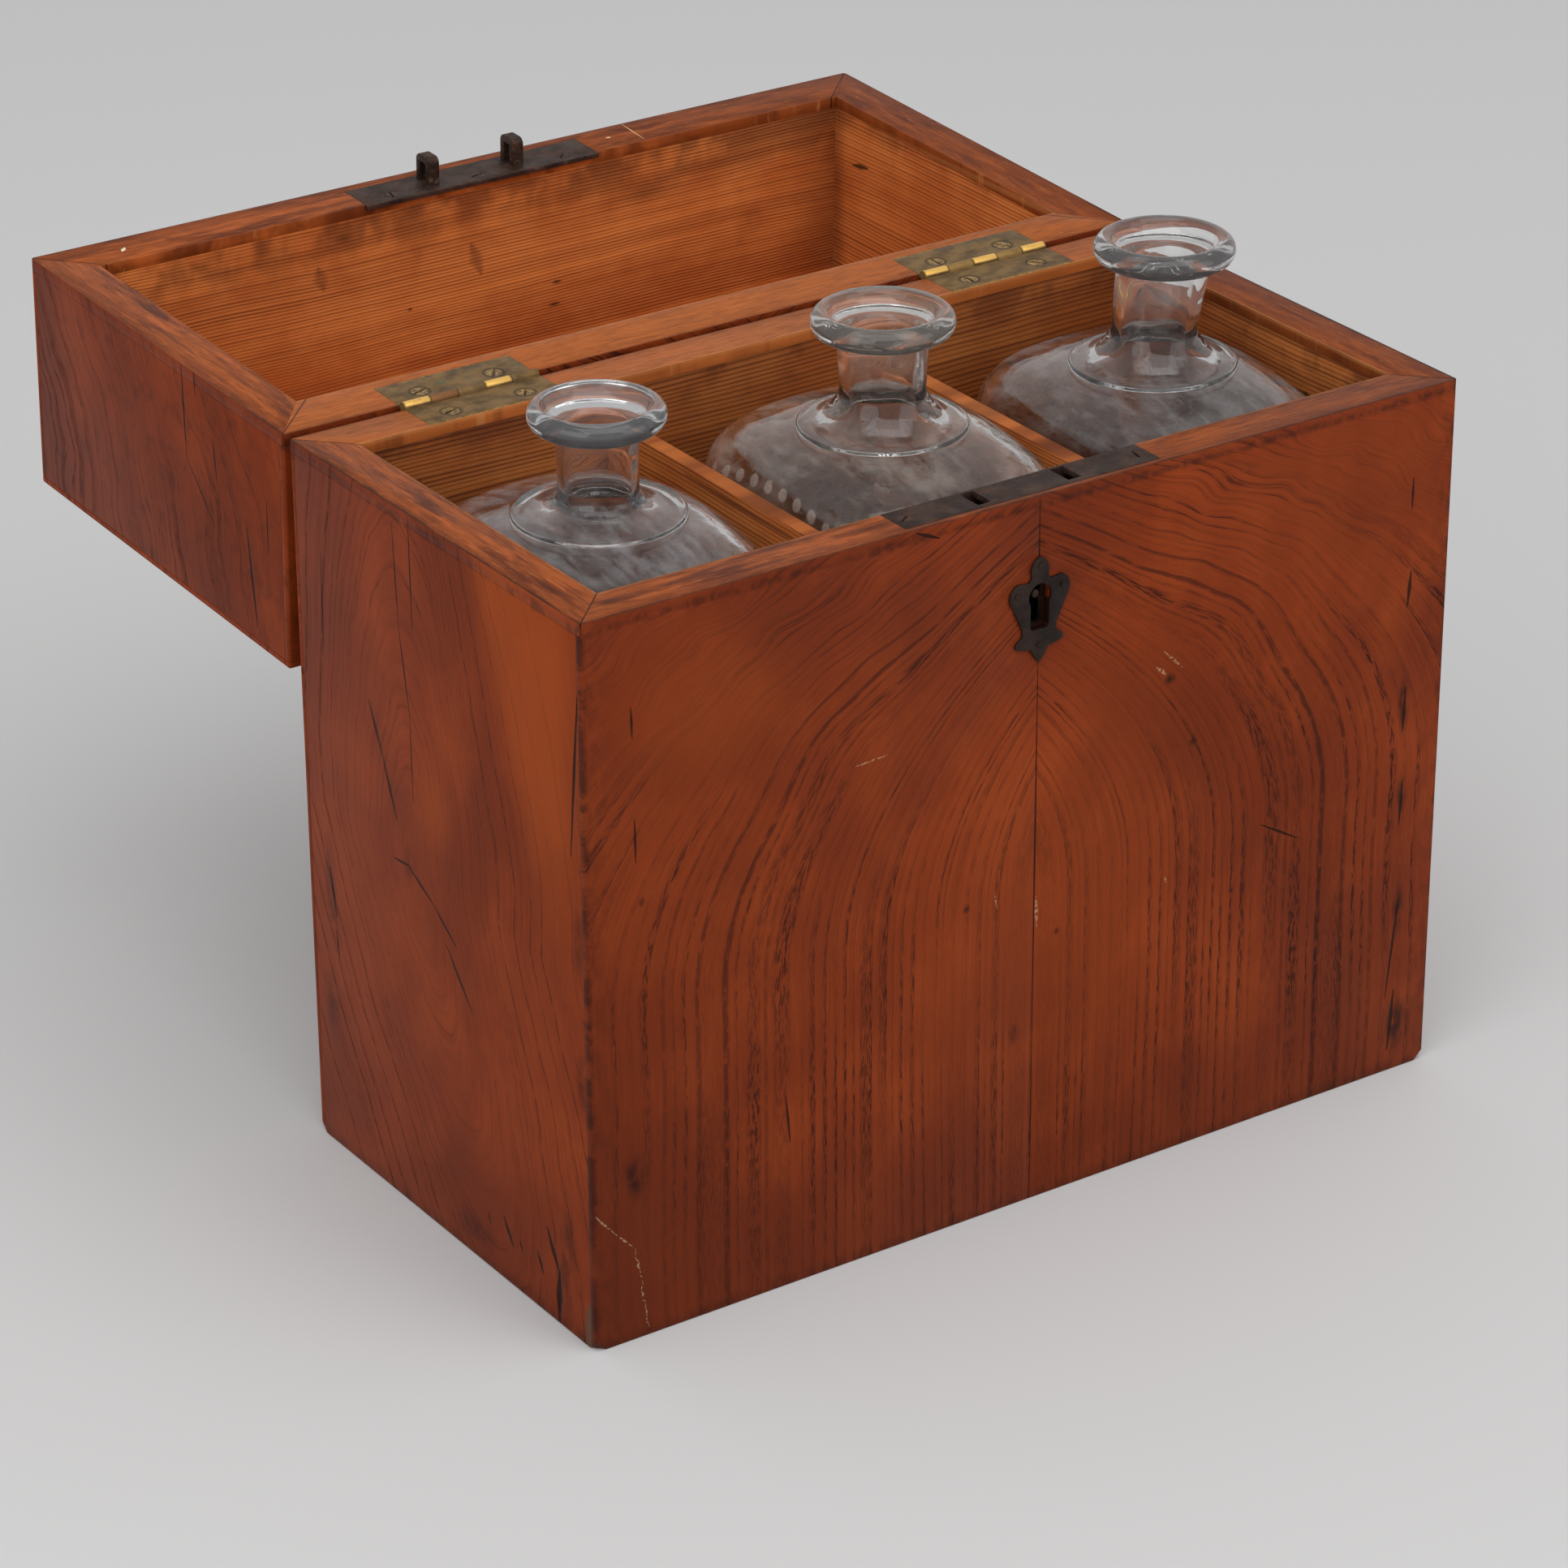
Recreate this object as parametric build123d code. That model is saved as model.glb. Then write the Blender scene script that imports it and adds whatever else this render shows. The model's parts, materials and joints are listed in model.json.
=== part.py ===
from build123d import *
from dataclasses import dataclass
import math
import os

# Case: outside sizes, and how far the lid stands open
case_width = 330
case_depth = 169
base_height = 246
lid_height = 82
lid_open_angle = 178

# Walls: thick veneer on pine boards, with a mitred strip round each rim
veneer_thickness = 2.5
rim_thickness = 4
base_wall = 16
lid_front_wall = 18.5
lid_back_wall = 20
lid_side_wall = 16.5
bottom_thickness = 10
lid_panel_thickness = 5.5
rebate_depth = 5
corner_round = 1.2
base_tail_count = 4
lid_tail_count = 2
tail_root_share = 0.5
tail_tip_share = 0.68
tail_place_share = 0.5

# Dividers between the three compartments
divider_thickness = 6
divider_drop = 17
groove_depth = 3

# Clearances shared by several pieces
cut_overrun = 1
inlay_clearance = 0.1
screw_clearance = 0.05
running_clearance = 0.05

# Hinges: two butt hinges of five knuckles each
hinge_length = 50
left_hinge_inset = 42
right_hinge_inset = 37
knuckle_count = 5
knuckle_gap = 0.2
barrel_radius = 1.75
hinge_pin_radius = 1
hinge_gap = 0.3
leaf_thickness = 1.2
leaf_margin = 0.55
leaf_screw_spacing = 27.5
base_leaf_screw_inset = 9
lid_leaf_screw_inset = 6

# Countersunk wood screws in hinges, lock and staple plate
leaf_screw_head_radius = 2.9
lock_screw_head_radius = 2.6
screw_shank_radius = 1.3
screw_head_depth = 1.5
screw_length = 14
screw_tip = 3
screw_slot_width = 0.8
screw_slot_depth = 0.6
leaf_screw_turns = (20, 56, 92, 128)
selvedge_screw_turns = (35, 80)
staple_screw_turns = (75, 10, 50)

# Lock: case, plates and slots
lock_width = 80
lock_height = 48
lock_front_wood = 1.6
plate_thickness = 1
selvedge_length = 96
selvedge_thickness = 2
selvedge_front_margin = 3
selvedge_screw_inset = 4.5
slot_spacing = 34
slot_width = 5

# Lock: drill pin and keyhole
key_drop = 33
drill_pin_radius = 1.3
drill_pin_sink = 1.5
keyhole_radius = 4.2
keyhole_width = 7
keyhole_drop = 11
keyhole_corner = 1.2
keyhole_margin = 0.3

# Lock: sliding bolt with two hooks, its studs and its spring
bolt_play = 0.3
bolt_throw = 7
hook_height = 3.6
hook_tip_room = 1.4
upright_width = 4
bolt_drop = 4.5
bolt_height = 12.5
bolt_left_margin = 5
bolt_right_margin = 23
talon_width = 8
talon_depth = 4.1
stud_radius = 1.6
stud_rivet_radius = 1.1
stud_offset = 20
spring_thickness = 0.7
spring_width = 5
spring_reach = 23
spring_rise = 8
spring_tab = 8
spring_arc_shares = ((0, 0), (0.5, 0.85), (1, 1))

# Staples on the lid
staple_plate_length = 93.5
staple_plate_width = 16
staple_plate_thickness = 1.5
staple_plate_overhang = 1.5
staple_width = 4.35
staple_leg = 2.6
staple_crown = 2.6
staple_play = 0.6
staple_hook_play = 0.7
staple_screw_spacing = 34.5
staple_screw_inset = 5

# Escutcheon round the keyhole
escutcheon_width = 22.6
escutcheon_height = 35.6
escutcheon_rise = 13.3
escutcheon_thickness = 0.9
escutcheon_pin_radius = 0.5
escutcheon_pin_head_radius = 0.9
escutcheon_pin_head = 0.25
escutcheon_pin_length = 4
escutcheon_pin_shares = ((0, 0.91), (-0.76, 0.68), (0.76, 0.68), (0, 0.17))

# Points of the escutcheon's right half: shares of half its width and of its height
escutcheon_shares = {
    "top": (0, 1),
    "lobe": (0.28, 0.9),
    "lobe_foot": (0.27, 0.81),
    "notch": (0.36, 0.77),
    "ear_top": (0.74, 0.785),
    "ear": (1, 0.69),
    "ear_foot": (0.93, 0.585),
    "waist": (0.58, 0.35),
    "waist_foot": (0.56, 0.28),
    "wing_top": (0.74, 0.235),
    "wing_tip": (0.8, 0.2),
    "wing_foot": (0.72, 0.165),
    "point_root": (0.3, 0.14),
    "point_side": (0.15, 0.06),
    "foot": (0, 0),
}

# Bottles: sizes that all three share
bottle_side_room = 9.3
bottle_depth_room = 23
bottle_corner = 28
glass_wall = 3.5
bottle_floor = 6
kick_radius = 34
kick_height = 4
shoulder_sphere_radius = 135
shoulder_round = 23
ring_radius = 26.5
ring_bead = 0.8
bore_radius = 10.5
mouth_radius = 17.5
mouth_depth = 7
mouth_bulge_shares = (0.66, 0.54)
lip_height = 8
lip_round = 3.6

# Left bottle
left_bottle_shift_x = -1.1
left_bottle_shift_y = 4
left_ring_drop = 10.5
left_flare_height = 5
left_neck_length = 22.5
left_neck_base_radius = 12.6
left_neck_top_radius = 12.9
left_lip_radius = 21.6
left_lean = 0

# Middle bottle
middle_bottle_shift_x = 1
middle_bottle_shift_y = 0
middle_ring_drop = 4
middle_flare_height = 11
middle_neck_length = 18.5
middle_neck_base_radius = 13.6
middle_neck_top_radius = 14.8
middle_lip_radius = 23
middle_lean = 0

# Right bottle, whose neck leans towards the right
right_bottle_shift_x = 3
right_bottle_shift_y = -5
right_ring_drop = 5
right_flare_height = 11
right_neck_length = 22
right_neck_base_radius = 13.8
right_neck_top_radius = 15.3
right_lip_radius = 23
right_lean = 3.5

# Places that several pieces share
half_width = case_width / 2
half_depth = case_depth / 2
back_face = half_depth
front_face = -half_depth
front_wood = front_face + veneer_thickness
axis_y = back_face + barrel_radius + hinge_gap
leaf_end = back_face - base_wall + leaf_margin
left_hinge_x = -half_width + left_hinge_inset + hinge_length / 2
right_hinge_x = half_width - right_hinge_inset - hinge_length / 2
inner_front = front_face + base_wall
inner_back = back_face - base_wall
inner_width = case_width - base_wall * 2
compartment_width = (inner_width - divider_thickness * 2) / 3
divider_x = (compartment_width + divider_thickness) / 2
divider_top = base_height - divider_drop

lock_inside = inner_front - plate_thickness
lock_back = front_wood + lock_front_wood + inlay_clearance
lock_cap_inside = lock_back + plate_thickness
lock_middle = (lock_inside + lock_cap_inside) / 2
lock_bottom = base_height - lock_height
selvedge_front = front_face + selvedge_front_margin
selvedge_under = base_height - selvedge_thickness
key_z = base_height - key_drop

hook_top = selvedge_under - bolt_play * 2
staple_drop = base_height - hook_top + hook_height + staple_hook_play + staple_crown
staple_depth = lock_inside - lock_cap_inside - staple_play * 2
bolt_thickness = staple_depth - staple_leg * 2 - bolt_play * 2
bolt_top = base_height - staple_drop - bolt_drop
bolt_bottom = bolt_top - bolt_height
hook_places = (-slot_spacing / 2, slot_spacing / 2)


def block(x_span, y_span, z_span):
    spans = (x_span, y_span, z_span)
    size = [max(span) - min(span) for span in spans]
    centre = [(max(span) + min(span)) / 2 for span in spans]
    return Pos(*centre) * Box(*size)


def around(centre, width):
    return (centre - width / 2, centre + width / 2)


def rod_along_y(radius, x, z, y_span):
    length = max(y_span) - min(y_span)
    middle = (max(y_span) + min(y_span)) / 2
    return Pos(x, middle, z) * Rot(90, 0, 0) * Cylinder(radius, length)


def rod_along_x(radius, x_span, y, z):
    length = max(x_span) - min(x_span)
    middle = (max(x_span) + min(x_span)) / 2
    return Pos(middle, y, z) * Rot(0, 90, 0) * Cylinder(radius, length)


def prism_along_y(face, y_from, y_to):
    # Takes a face drawn in X and Z and fills it between two places along Y
    return extrude(Plane.XZ.offset(-max(y_from, y_to)) * face, amount=abs(y_to - y_from))


# The two halves of the case: each is described from its rim, where they meet
@dataclass
class Half:
    grows: int
    height: float
    front_wall: float
    back_wall: float
    side_wall: float
    panel_thickness: float
    panel_veneer: float
    tail_count: int

    def z(self, distance):
        return base_height + self.grows * distance

    def rim_span(self):
        return (self.z(0), self.z(rim_thickness))

    def board_span(self):
        return (self.z(rim_thickness), self.z(self.height - self.panel_veneer))

    def panel_span(self):
        far = self.height - self.panel_veneer
        return (self.z(far - self.panel_thickness), self.z(far))

    def inner_x(self):
        return half_width - self.side_wall

    def inner_y(self, end):
        wall = self.front_wall if end < 0 else self.back_wall
        return end * (half_depth - wall)


base = Half(-1, base_height, base_wall, base_wall, base_wall, bottom_thickness, 0, base_tail_count)
lid = Half(1, lid_height, lid_front_wall, lid_back_wall, lid_side_wall, lid_panel_thickness, veneer_thickness,
           lid_tail_count)


def rounded_prism():
    # Everything outside is trimmed to this upright form with worn corners
    outline = RectangleRounded(case_width, case_depth, corner_round)
    return extrude(outline, amount=base_height + lid_height)


def tails(half, side, end):
    # Dovetails of one side board at its front or back end, wider at their tips
    low, high = sorted(half.board_span())
    pitch = (high - low) / half.tail_count
    root_y = half.inner_y(end)
    tip_y = end * (half_depth - veneer_thickness)
    x_span = sorted((side * half.inner_x(), side * (half_width - veneer_thickness)))
    tail_list = []
    for index in range(half.tail_count):
        middle = low + (index + tail_place_share) * pitch
        root = pitch * tail_root_share / 2
        tip = pitch * tail_tip_share / 2
        lower = ((root_y, middle - root), (tip_y, middle - tip))
        upper = ((tip_y, middle + tip), (root_y, middle + root))
        face = make_face(Polyline(*lower, *upper, close=True))
        tail_list.append(extrude(Plane.YZ.offset(x_span[0]) * face, amount=x_span[1] - x_span[0]))
    return tail_list


def panel(half):
    x = half.inner_x() + rebate_depth
    y_span = (half.inner_y(-1) - rebate_depth, half.inner_y(1) + rebate_depth)
    return block((-x, x), y_span, half.panel_span())


def side_board(half, side):
    outer = side * (half_width - veneer_thickness)
    board = block((side * half.inner_x(), outer), (half.inner_y(-1), half.inner_y(1)), half.board_span())
    for end in (-1, 1):
        for tail in tails(half, side, end):
            board += tail
    return board - panel(half)


def end_board(half, end):
    outer = half_width - veneer_thickness
    y_span = (half.inner_y(end), end * (half_depth - veneer_thickness))
    board = block((-outer, outer), y_span, half.board_span())
    for side in (-1, 1):
        for tail in tails(half, side, end):
            board -= tail
    return board - panel(half)


def rectangle_corners(x, y_front, y_back):
    return ((-x, y_front), (x, y_front), (x, y_back), (-x, y_back))


def rim_strips(half):
    # Four strips mitred at the corners, in the order front, right, back, left
    outer = rectangle_corners(half_width, front_face, back_face)
    inner = rectangle_corners(half.inner_x(), half.inner_y(-1), half.inner_y(1))
    strips = {}
    for index, name in enumerate(("front", "right", "back", "left")):
        follower = (index + 1) % len(outer)
        corners = (outer[index], outer[follower], inner[follower], inner[index])
        face = make_face(Polyline(*corners, close=True))
        strip = extrude(Pos(0, 0, min(half.rim_span())) * face, amount=rim_thickness)
        strips[name] = strip & rounded_prism()
    return strips


def veneers(half):
    z_span = half.board_span()
    front_span = (front_face, front_wood)
    sheets = {
        "front_veneer_left": block((-half_width, 0), front_span, z_span),
        "front_veneer_right": block((0, half_width), front_span, z_span),
        "back_veneer": block((-half_width, half_width), (-front_wood, back_face), z_span),
        "left_veneer": block((-half_width, veneer_thickness - half_width), (front_wood, -front_wood), z_span),
        "right_veneer": block((half_width - veneer_thickness, half_width), (front_wood, -front_wood), z_span),
    }
    return {name: sheet & rounded_prism() for name, sheet in sheets.items()}


def lid_top_veneer():
    top = base_height + lid_height
    sheet = block((-half_width, half_width), (front_face, back_face), (top - veneer_thickness, top))
    sheet = sheet & rounded_prism()
    return fillet(sheet.faces().sort_by(Axis.Z)[-1].edges(), corner_round)


# Screws hang below their head face; turn gives the direction of the slot
def wood_screw(head_radius, turn):
    profile = Polyline((0, 0), (head_radius, 0), (screw_shank_radius, -screw_head_depth),
                       (screw_shank_radius, screw_tip - screw_length), (0, -screw_length), close=True)
    screw = revolve(Plane.XZ * make_face(profile), Axis.Z)
    slot = Box(head_radius * 2 + cut_overrun, screw_slot_width, screw_slot_depth * 2)
    return screw - Rot(0, 0, turn) * slot


def screw_hole(head_radius):
    head = head_radius + screw_clearance
    shank = screw_shank_radius + screw_clearance
    foot = -screw_length - screw_clearance
    profile = Polyline((0, cut_overrun), (head, cut_overrun), (head, 0), (shank, -screw_head_depth),
                       (shank, foot), (0, foot), close=True)
    return revolve(Plane.XZ * make_face(profile), Axis.Z)


def downwards(x, y):
    return Pos(x, y, base_height)


def upwards(x, y):
    return Pos(x, y, base_height) * Rot(180, 0, 0)


# Hinges
def knuckle_span(centre_x, index):
    pitch = hinge_length / knuckle_count
    start = centre_x - hinge_length / 2 + index * pitch
    return (start + knuckle_gap / 2, start + pitch - knuckle_gap / 2)


def leaf_recess(centre_x, grows):
    x_span = around(centre_x, hinge_length + inlay_clearance * 2)
    z_span = (base_height - grows * cut_overrun, base_height + grows * leaf_thickness)
    return block(x_span, (leaf_end - inlay_clearance, back_face + cut_overrun), z_span)


def leaf_screw_places(half):
    inset = base_leaf_screw_inset if half is base else lid_leaf_screw_inset
    place = downwards if half is base else upwards
    places = []
    for centre_x in (left_hinge_x, right_hinge_x):
        for side in (-1, 1):
            places.append(place(centre_x + side * leaf_screw_spacing / 2, back_face - inset))
    return places


def hinge_leaf(half, centre_x, first_knuckle):
    z_span = (base_height, base_height + half.grows * leaf_thickness)
    leaf = block(around(centre_x, hinge_length), (leaf_end, back_face), z_span)
    for index in range(first_knuckle, knuckle_count, 2):
        x_span = knuckle_span(centre_x, index)
        leaf += block(x_span, (back_face, axis_y), z_span)
        leaf += rod_along_x(barrel_radius, x_span, axis_y, base_height)
    bore = rod_along_x(hinge_pin_radius + running_clearance, around(centre_x, hinge_length + cut_overrun),
                       axis_y, base_height)
    leaf -= bore
    for place in leaf_screw_places(half):
        leaf -= place * screw_hole(leaf_screw_head_radius)
    return leaf


def hinge_pin(centre_x):
    return rod_along_x(hinge_pin_radius, around(centre_x, hinge_length), axis_y, base_height)


def driven_screws(places, head_radius, turns):
    # The slots stand at all angles, as hand-driven screws leave them
    return [place * wood_screw(head_radius, turn) for place, turn in zip(places, turns)]


def leaf_screws(half):
    return driven_screws(leaf_screw_places(half), leaf_screw_head_radius, leaf_screw_turns)


# Keyhole, as a face in X and Z
def keyhole(margin):
    width = keyhole_width + margin * 2
    height = keyhole_drop + margin
    slot = Pos(0, -height / 2) * RectangleRounded(width, height, keyhole_corner)
    neck = Pos(0, -height / 4) * Rectangle(width, height / 2)
    return Pos(0, key_z) * (Circle(keyhole_radius + margin) + slot + neck)


def keyhole_cut(margin, y_from, y_to):
    return prism_along_y(keyhole(margin), y_from, y_to)


# Lock
def selvedge_screw_places():
    x = selvedge_length / 2 - selvedge_screw_inset
    y = (inner_front + selvedge_front) / 2
    return [downwards(-x, y), downwards(x, y)]


def lock_mortise():
    x = lock_width / 2 + inlay_clearance
    y_span = (inner_front + cut_overrun, lock_back - inlay_clearance)
    return block((-x, x), y_span, (lock_bottom - inlay_clearance, base_height + cut_overrun))


def selvedge_recess():
    x = selvedge_length / 2 + inlay_clearance
    y_span = (inner_front + cut_overrun, selvedge_front - inlay_clearance)
    return block((-x, x), y_span, (selvedge_under, base_height + cut_overrun))


def stud_places():
    return [(-stud_offset, bolt_middle()), (stud_offset, bolt_middle())]


def bolt_middle():
    return (bolt_top + bolt_bottom) / 2


def lock_plate():
    # The plate facing the compartment, bent over to the slotted selvedge on the rim
    x = lock_width / 2
    plate = block((-x, x), (inner_front, lock_inside), (lock_bottom, selvedge_under))
    plate += block(around(0, selvedge_length), (inner_front, selvedge_front), (selvedge_under, base_height))
    for slot_x in hook_places:
        plate -= block(around(slot_x, slot_width), (lock_inside, lock_cap_inside),
                       (selvedge_under - cut_overrun, base_height + cut_overrun))
    for place in selvedge_screw_places():
        plate -= place * screw_hole(lock_screw_head_radius)
    through = (inner_front + cut_overrun, lock_inside - cut_overrun)
    for stud_x, stud_z in stud_places():
        plate -= rod_along_y(stud_rivet_radius + screw_clearance, stud_x, stud_z, through)
    return plate - rod_along_y(drill_pin_radius + screw_clearance, 0, key_z, through)


def lock_cap():
    # A shallow tray that closes the works on the side of the keyhole
    x = lock_width / 2
    inner_x = x - plate_thickness
    tray = block((-x, x), (lock_inside, lock_back), (lock_bottom, selvedge_under))
    tray -= block((-inner_x, inner_x), (lock_inside + cut_overrun, lock_cap_inside),
                  (lock_bottom + plate_thickness, selvedge_under + cut_overrun))
    tray -= keyhole_cut(0, lock_cap_inside + cut_overrun, lock_back - cut_overrun)
    for stud_x, stud_z in stud_places():
        tray -= rod_along_y(stud_rivet_radius + screw_clearance, stud_x, stud_z,
                            (lock_cap_inside + cut_overrun, lock_back - cut_overrun))
    return tray


def lock_studs():
    studs = []
    for stud_x, stud_z in stud_places():
        stud = rod_along_y(stud_radius, stud_x, stud_z, (lock_inside, lock_cap_inside))
        studs.append(stud + rod_along_y(stud_rivet_radius, stud_x, stud_z, (inner_front, lock_back)))
    return studs


def drill_pin():
    return rod_along_y(drill_pin_radius, 0, key_z, (inner_front, front_face + drill_pin_sink))


def lock_bolt():
    # A bar with a notch for the key, slots for the studs and a hook under each staple slot
    y_span = around(lock_middle, bolt_thickness)
    upright_right = hook_places[0] - staple_width / 2 - staple_play - bolt_throw
    bolt_left = upright_right - upright_width - bolt_left_margin
    bolt_right = upright_right + slot_spacing + bolt_right_margin
    bolt = block((bolt_left, bolt_right), y_span, (bolt_bottom, bolt_top))
    for slot_x in hook_places:
        staple_side = slot_x - staple_width / 2
        right = staple_side - staple_play - bolt_throw
        tip = staple_side - hook_tip_room
        bolt += block((right - upright_width, right), y_span, (bolt_bottom, hook_top))
        bolt += block((right - upright_width, tip), y_span, (hook_top - hook_height, hook_top))
    talon = (bolt_bottom - cut_overrun, bolt_bottom + talon_depth)
    bolt -= block(around(-bolt_throw / 2, talon_width), y_span, talon)
    slot_radius = stud_radius + running_clearance
    for stud_x, stud_z in stud_places():
        bolt -= rod_along_y(slot_radius, stud_x, stud_z, y_span)
        bolt -= rod_along_y(slot_radius, stud_x - bolt_throw, stud_z, y_span)
        bolt -= block((stud_x - bolt_throw, stud_x), y_span, around(stud_z, slot_radius * 2))
    return bolt


def lock_spring():
    # A bowed strip, fixed to the side of the case, that bears on the bolt's lower edge
    wall = lock_width / 2 - plate_thickness
    crest = bolt_bottom - bolt_play
    foot = crest - spring_rise
    upper = [(wall - reach * spring_reach, foot + rise * spring_rise) for reach, rise in spring_arc_shares]
    lower = [(x, z - spring_thickness) for x, z in upper]
    ends = [Line(upper[0], lower[0]), Line(upper[-1], lower[-1])]
    strip = make_face([ThreePointArc(*upper), ThreePointArc(*lower)] + ends)
    tab = Pos(wall - spring_thickness / 2, foot - spring_tab / 2) * Rectangle(spring_thickness, spring_tab)
    return prism_along_y(strip + tab, *around(lock_middle, spring_width))


def selvedge_screws():
    return driven_screws(selvedge_screw_places(), lock_screw_head_radius, selvedge_screw_turns)


# Staple plate and staples, drawn with the lid shut
def staple_plate_span():
    inner = lid.inner_y(-1) + staple_plate_overhang
    return (inner - staple_plate_width, inner)


def staple_plate_recess():
    x = staple_plate_length / 2 + inlay_clearance
    low, high = staple_plate_span()
    z_span = (base_height - cut_overrun, base_height + staple_plate_thickness)
    return block((-x, x), (low - inlay_clearance, high + cut_overrun), z_span)


def staple_screw_places():
    y = max(staple_plate_span()) - staple_screw_inset
    return [upwards(offset * staple_screw_spacing, y) for offset in (-1, 0, 1)]


def staple_plate():
    z_span = (base_height, base_height + staple_plate_thickness)
    plate = block(around(0, staple_plate_length), staple_plate_span(), z_span)
    for staple in staples():
        plate -= staple
    for place in staple_screw_places():
        plate -= place * screw_hole(lock_screw_head_radius)
    return plate


def staples():
    # Each is a strip bent to a square loop, with its legs riveted through the plate
    top = base_height + staple_plate_thickness
    bottom = base_height - staple_drop
    loops = []
    for staple_x in hook_places:
        x_span = around(staple_x, staple_width)
        loop = block(x_span, around(lock_middle, staple_depth), (bottom, top))
        outer_edges = loop.faces().sort_by(Axis.Z)[0].edges().filter_by(Axis.X)
        loop = fillet(outer_edges, staple_leg - bolt_play)
        eye_depth = staple_depth - staple_leg * 2
        loop -= block(x_span, around(lock_middle, eye_depth), (bottom + staple_crown, top))
        loops.append(loop)
    return loops


def staple_screws():
    return driven_screws(staple_screw_places(), lock_screw_head_radius, staple_screw_turns)


# Escutcheon: half of its outline, from the top lobe down to the pointed foot
def escutcheon_point(x_share, z_share):
    foot = key_z + escutcheon_rise - escutcheon_height
    return (x_share * escutcheon_width / 2, foot + z_share * escutcheon_height)


def escutcheon():
    at = {name: escutcheon_point(*shares) for name, shares in escutcheon_shares.items()}
    edges = [
        ThreePointArc(at["top"], at["lobe"], at["lobe_foot"]),
        Line(at["lobe_foot"], at["notch"]),
        Line(at["notch"], at["ear_top"]),
        ThreePointArc(at["ear_top"], at["ear"], at["ear_foot"]),
        Line(at["ear_foot"], at["waist"]),
        Line(at["waist"], at["waist_foot"]),
        Line(at["waist_foot"], at["wing_top"]),
        ThreePointArc(at["wing_top"], at["wing_tip"], at["wing_foot"]),
        Line(at["wing_foot"], at["point_root"]),
        ThreePointArc(at["point_root"], at["point_side"], at["foot"]),
        Line(at["foot"], at["top"]),
    ]
    half_face = make_face(edges)
    face = half_face + mirror(half_face, Plane.YZ) - keyhole(0)
    plate = prism_along_y(face, front_face, front_face - escutcheon_thickness)
    for pin_x, pin_z in escutcheon_pin_places():
        plate -= rod_along_y(escutcheon_pin_radius + screw_clearance, pin_x, pin_z,
                             (front_face + cut_overrun, front_face - escutcheon_thickness - cut_overrun))
    return plate


def escutcheon_pin_places():
    return [escutcheon_point(*shares) for shares in escutcheon_pin_shares]


def escutcheon_pins():
    outside = front_face - escutcheon_thickness
    pins = []
    for pin_x, pin_z in escutcheon_pin_places():
        shank = rod_along_y(escutcheon_pin_radius, pin_x, pin_z, (outside, outside + escutcheon_pin_length))
        head = rod_along_y(escutcheon_pin_head_radius, pin_x, pin_z, (outside, outside - escutcheon_pin_head))
        pins.append(shank + head)
    return pins


def escutcheon_pin_holes():
    inner = front_face - escutcheon_thickness + escutcheon_pin_length + screw_clearance
    radius = escutcheon_pin_radius + screw_clearance
    return [rod_along_y(radius, x, z, (front_face - cut_overrun, inner)) for x, z in escutcheon_pin_places()]


# Bottles
@dataclass
class Bottle:
    name: str
    compartment: int
    shift_x: float
    shift_y: float
    ring_drop: float
    flare_height: float
    neck_length: float
    neck_base_radius: float
    neck_top_radius: float
    lip_radius: float
    lean: float

    def ring_z(self):
        return base_height - self.ring_drop

    def neck_base_z(self):
        return self.ring_z() + self.flare_height

    def lip_z(self):
        return self.neck_base_z() + self.neck_length

    def place(self, shape):
        x = self.compartment * (compartment_width + divider_thickness) + self.shift_x
        return Pos(x, self.shift_y, 0) * shape

    def at_lip(self, shape):
        # The lip stands to one side of the neck's base where the neck leans
        return Pos(self.lean, 0, 0) * shape


bottles = (
    Bottle("left", -1, left_bottle_shift_x, left_bottle_shift_y, left_ring_drop, left_flare_height,
           left_neck_length, left_neck_base_radius, left_neck_top_radius, left_lip_radius, left_lean),
    Bottle("middle", 0, middle_bottle_shift_x, middle_bottle_shift_y, middle_ring_drop, middle_flare_height,
           middle_neck_length, middle_neck_base_radius, middle_neck_top_radius, middle_lip_radius,
           middle_lean),
    Bottle("right", 1, right_bottle_shift_x, right_bottle_shift_y, right_ring_drop, right_flare_height,
           right_neck_length, right_neck_base_radius, right_neck_top_radius, right_lip_radius, right_lean),
)


def turned(edges):
    return revolve(Plane.XZ * make_face(edges), Axis.Z)


def ball(radius):
    # Its poles lie at the sides, so no seam crosses the glass
    return Rot(0, 90, 0) * Sphere(radius)


def bottle_body(ring_z, inset, foot_z):
    # A rounded rectangle under a spherical shoulder, just below the ring, with its upper edges rounded
    width = compartment_width - bottle_side_room - inset * 2
    depth = inner_back - inner_front - bottle_depth_room - inset * 2
    outline = RectangleRounded(width, depth, bottle_corner - inset)
    body = extrude(Pos(0, 0, foot_z) * outline, amount=ring_z - foot_z)
    radius = shoulder_sphere_radius - inset
    ring_sag = shoulder_sphere_radius - math.sqrt(shoulder_sphere_radius ** 2 - ring_radius ** 2)
    centre_z = ring_z - ring_bead + ring_sag - shoulder_sphere_radius
    half_way = (foot_z + ring_z) / 2
    above = Rectangle(width + cut_overrun * 2, depth + cut_overrun * 2)
    above = extrude(Pos(0, 0, half_way) * above, amount=ring_z)
    body = body - (above - Pos(0, 0, centre_z) * ball(radius))
    upper_edges = [edge for edge in body.edges() if min(v.Z for v in edge.vertices()) > half_way]
    rim_edges = [edge for edge in upper_edges if max(v.Z for v in edge.vertices()) < ring_z - ring_sag]
    return fillet(rim_edges, shoulder_round - inset)


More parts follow.
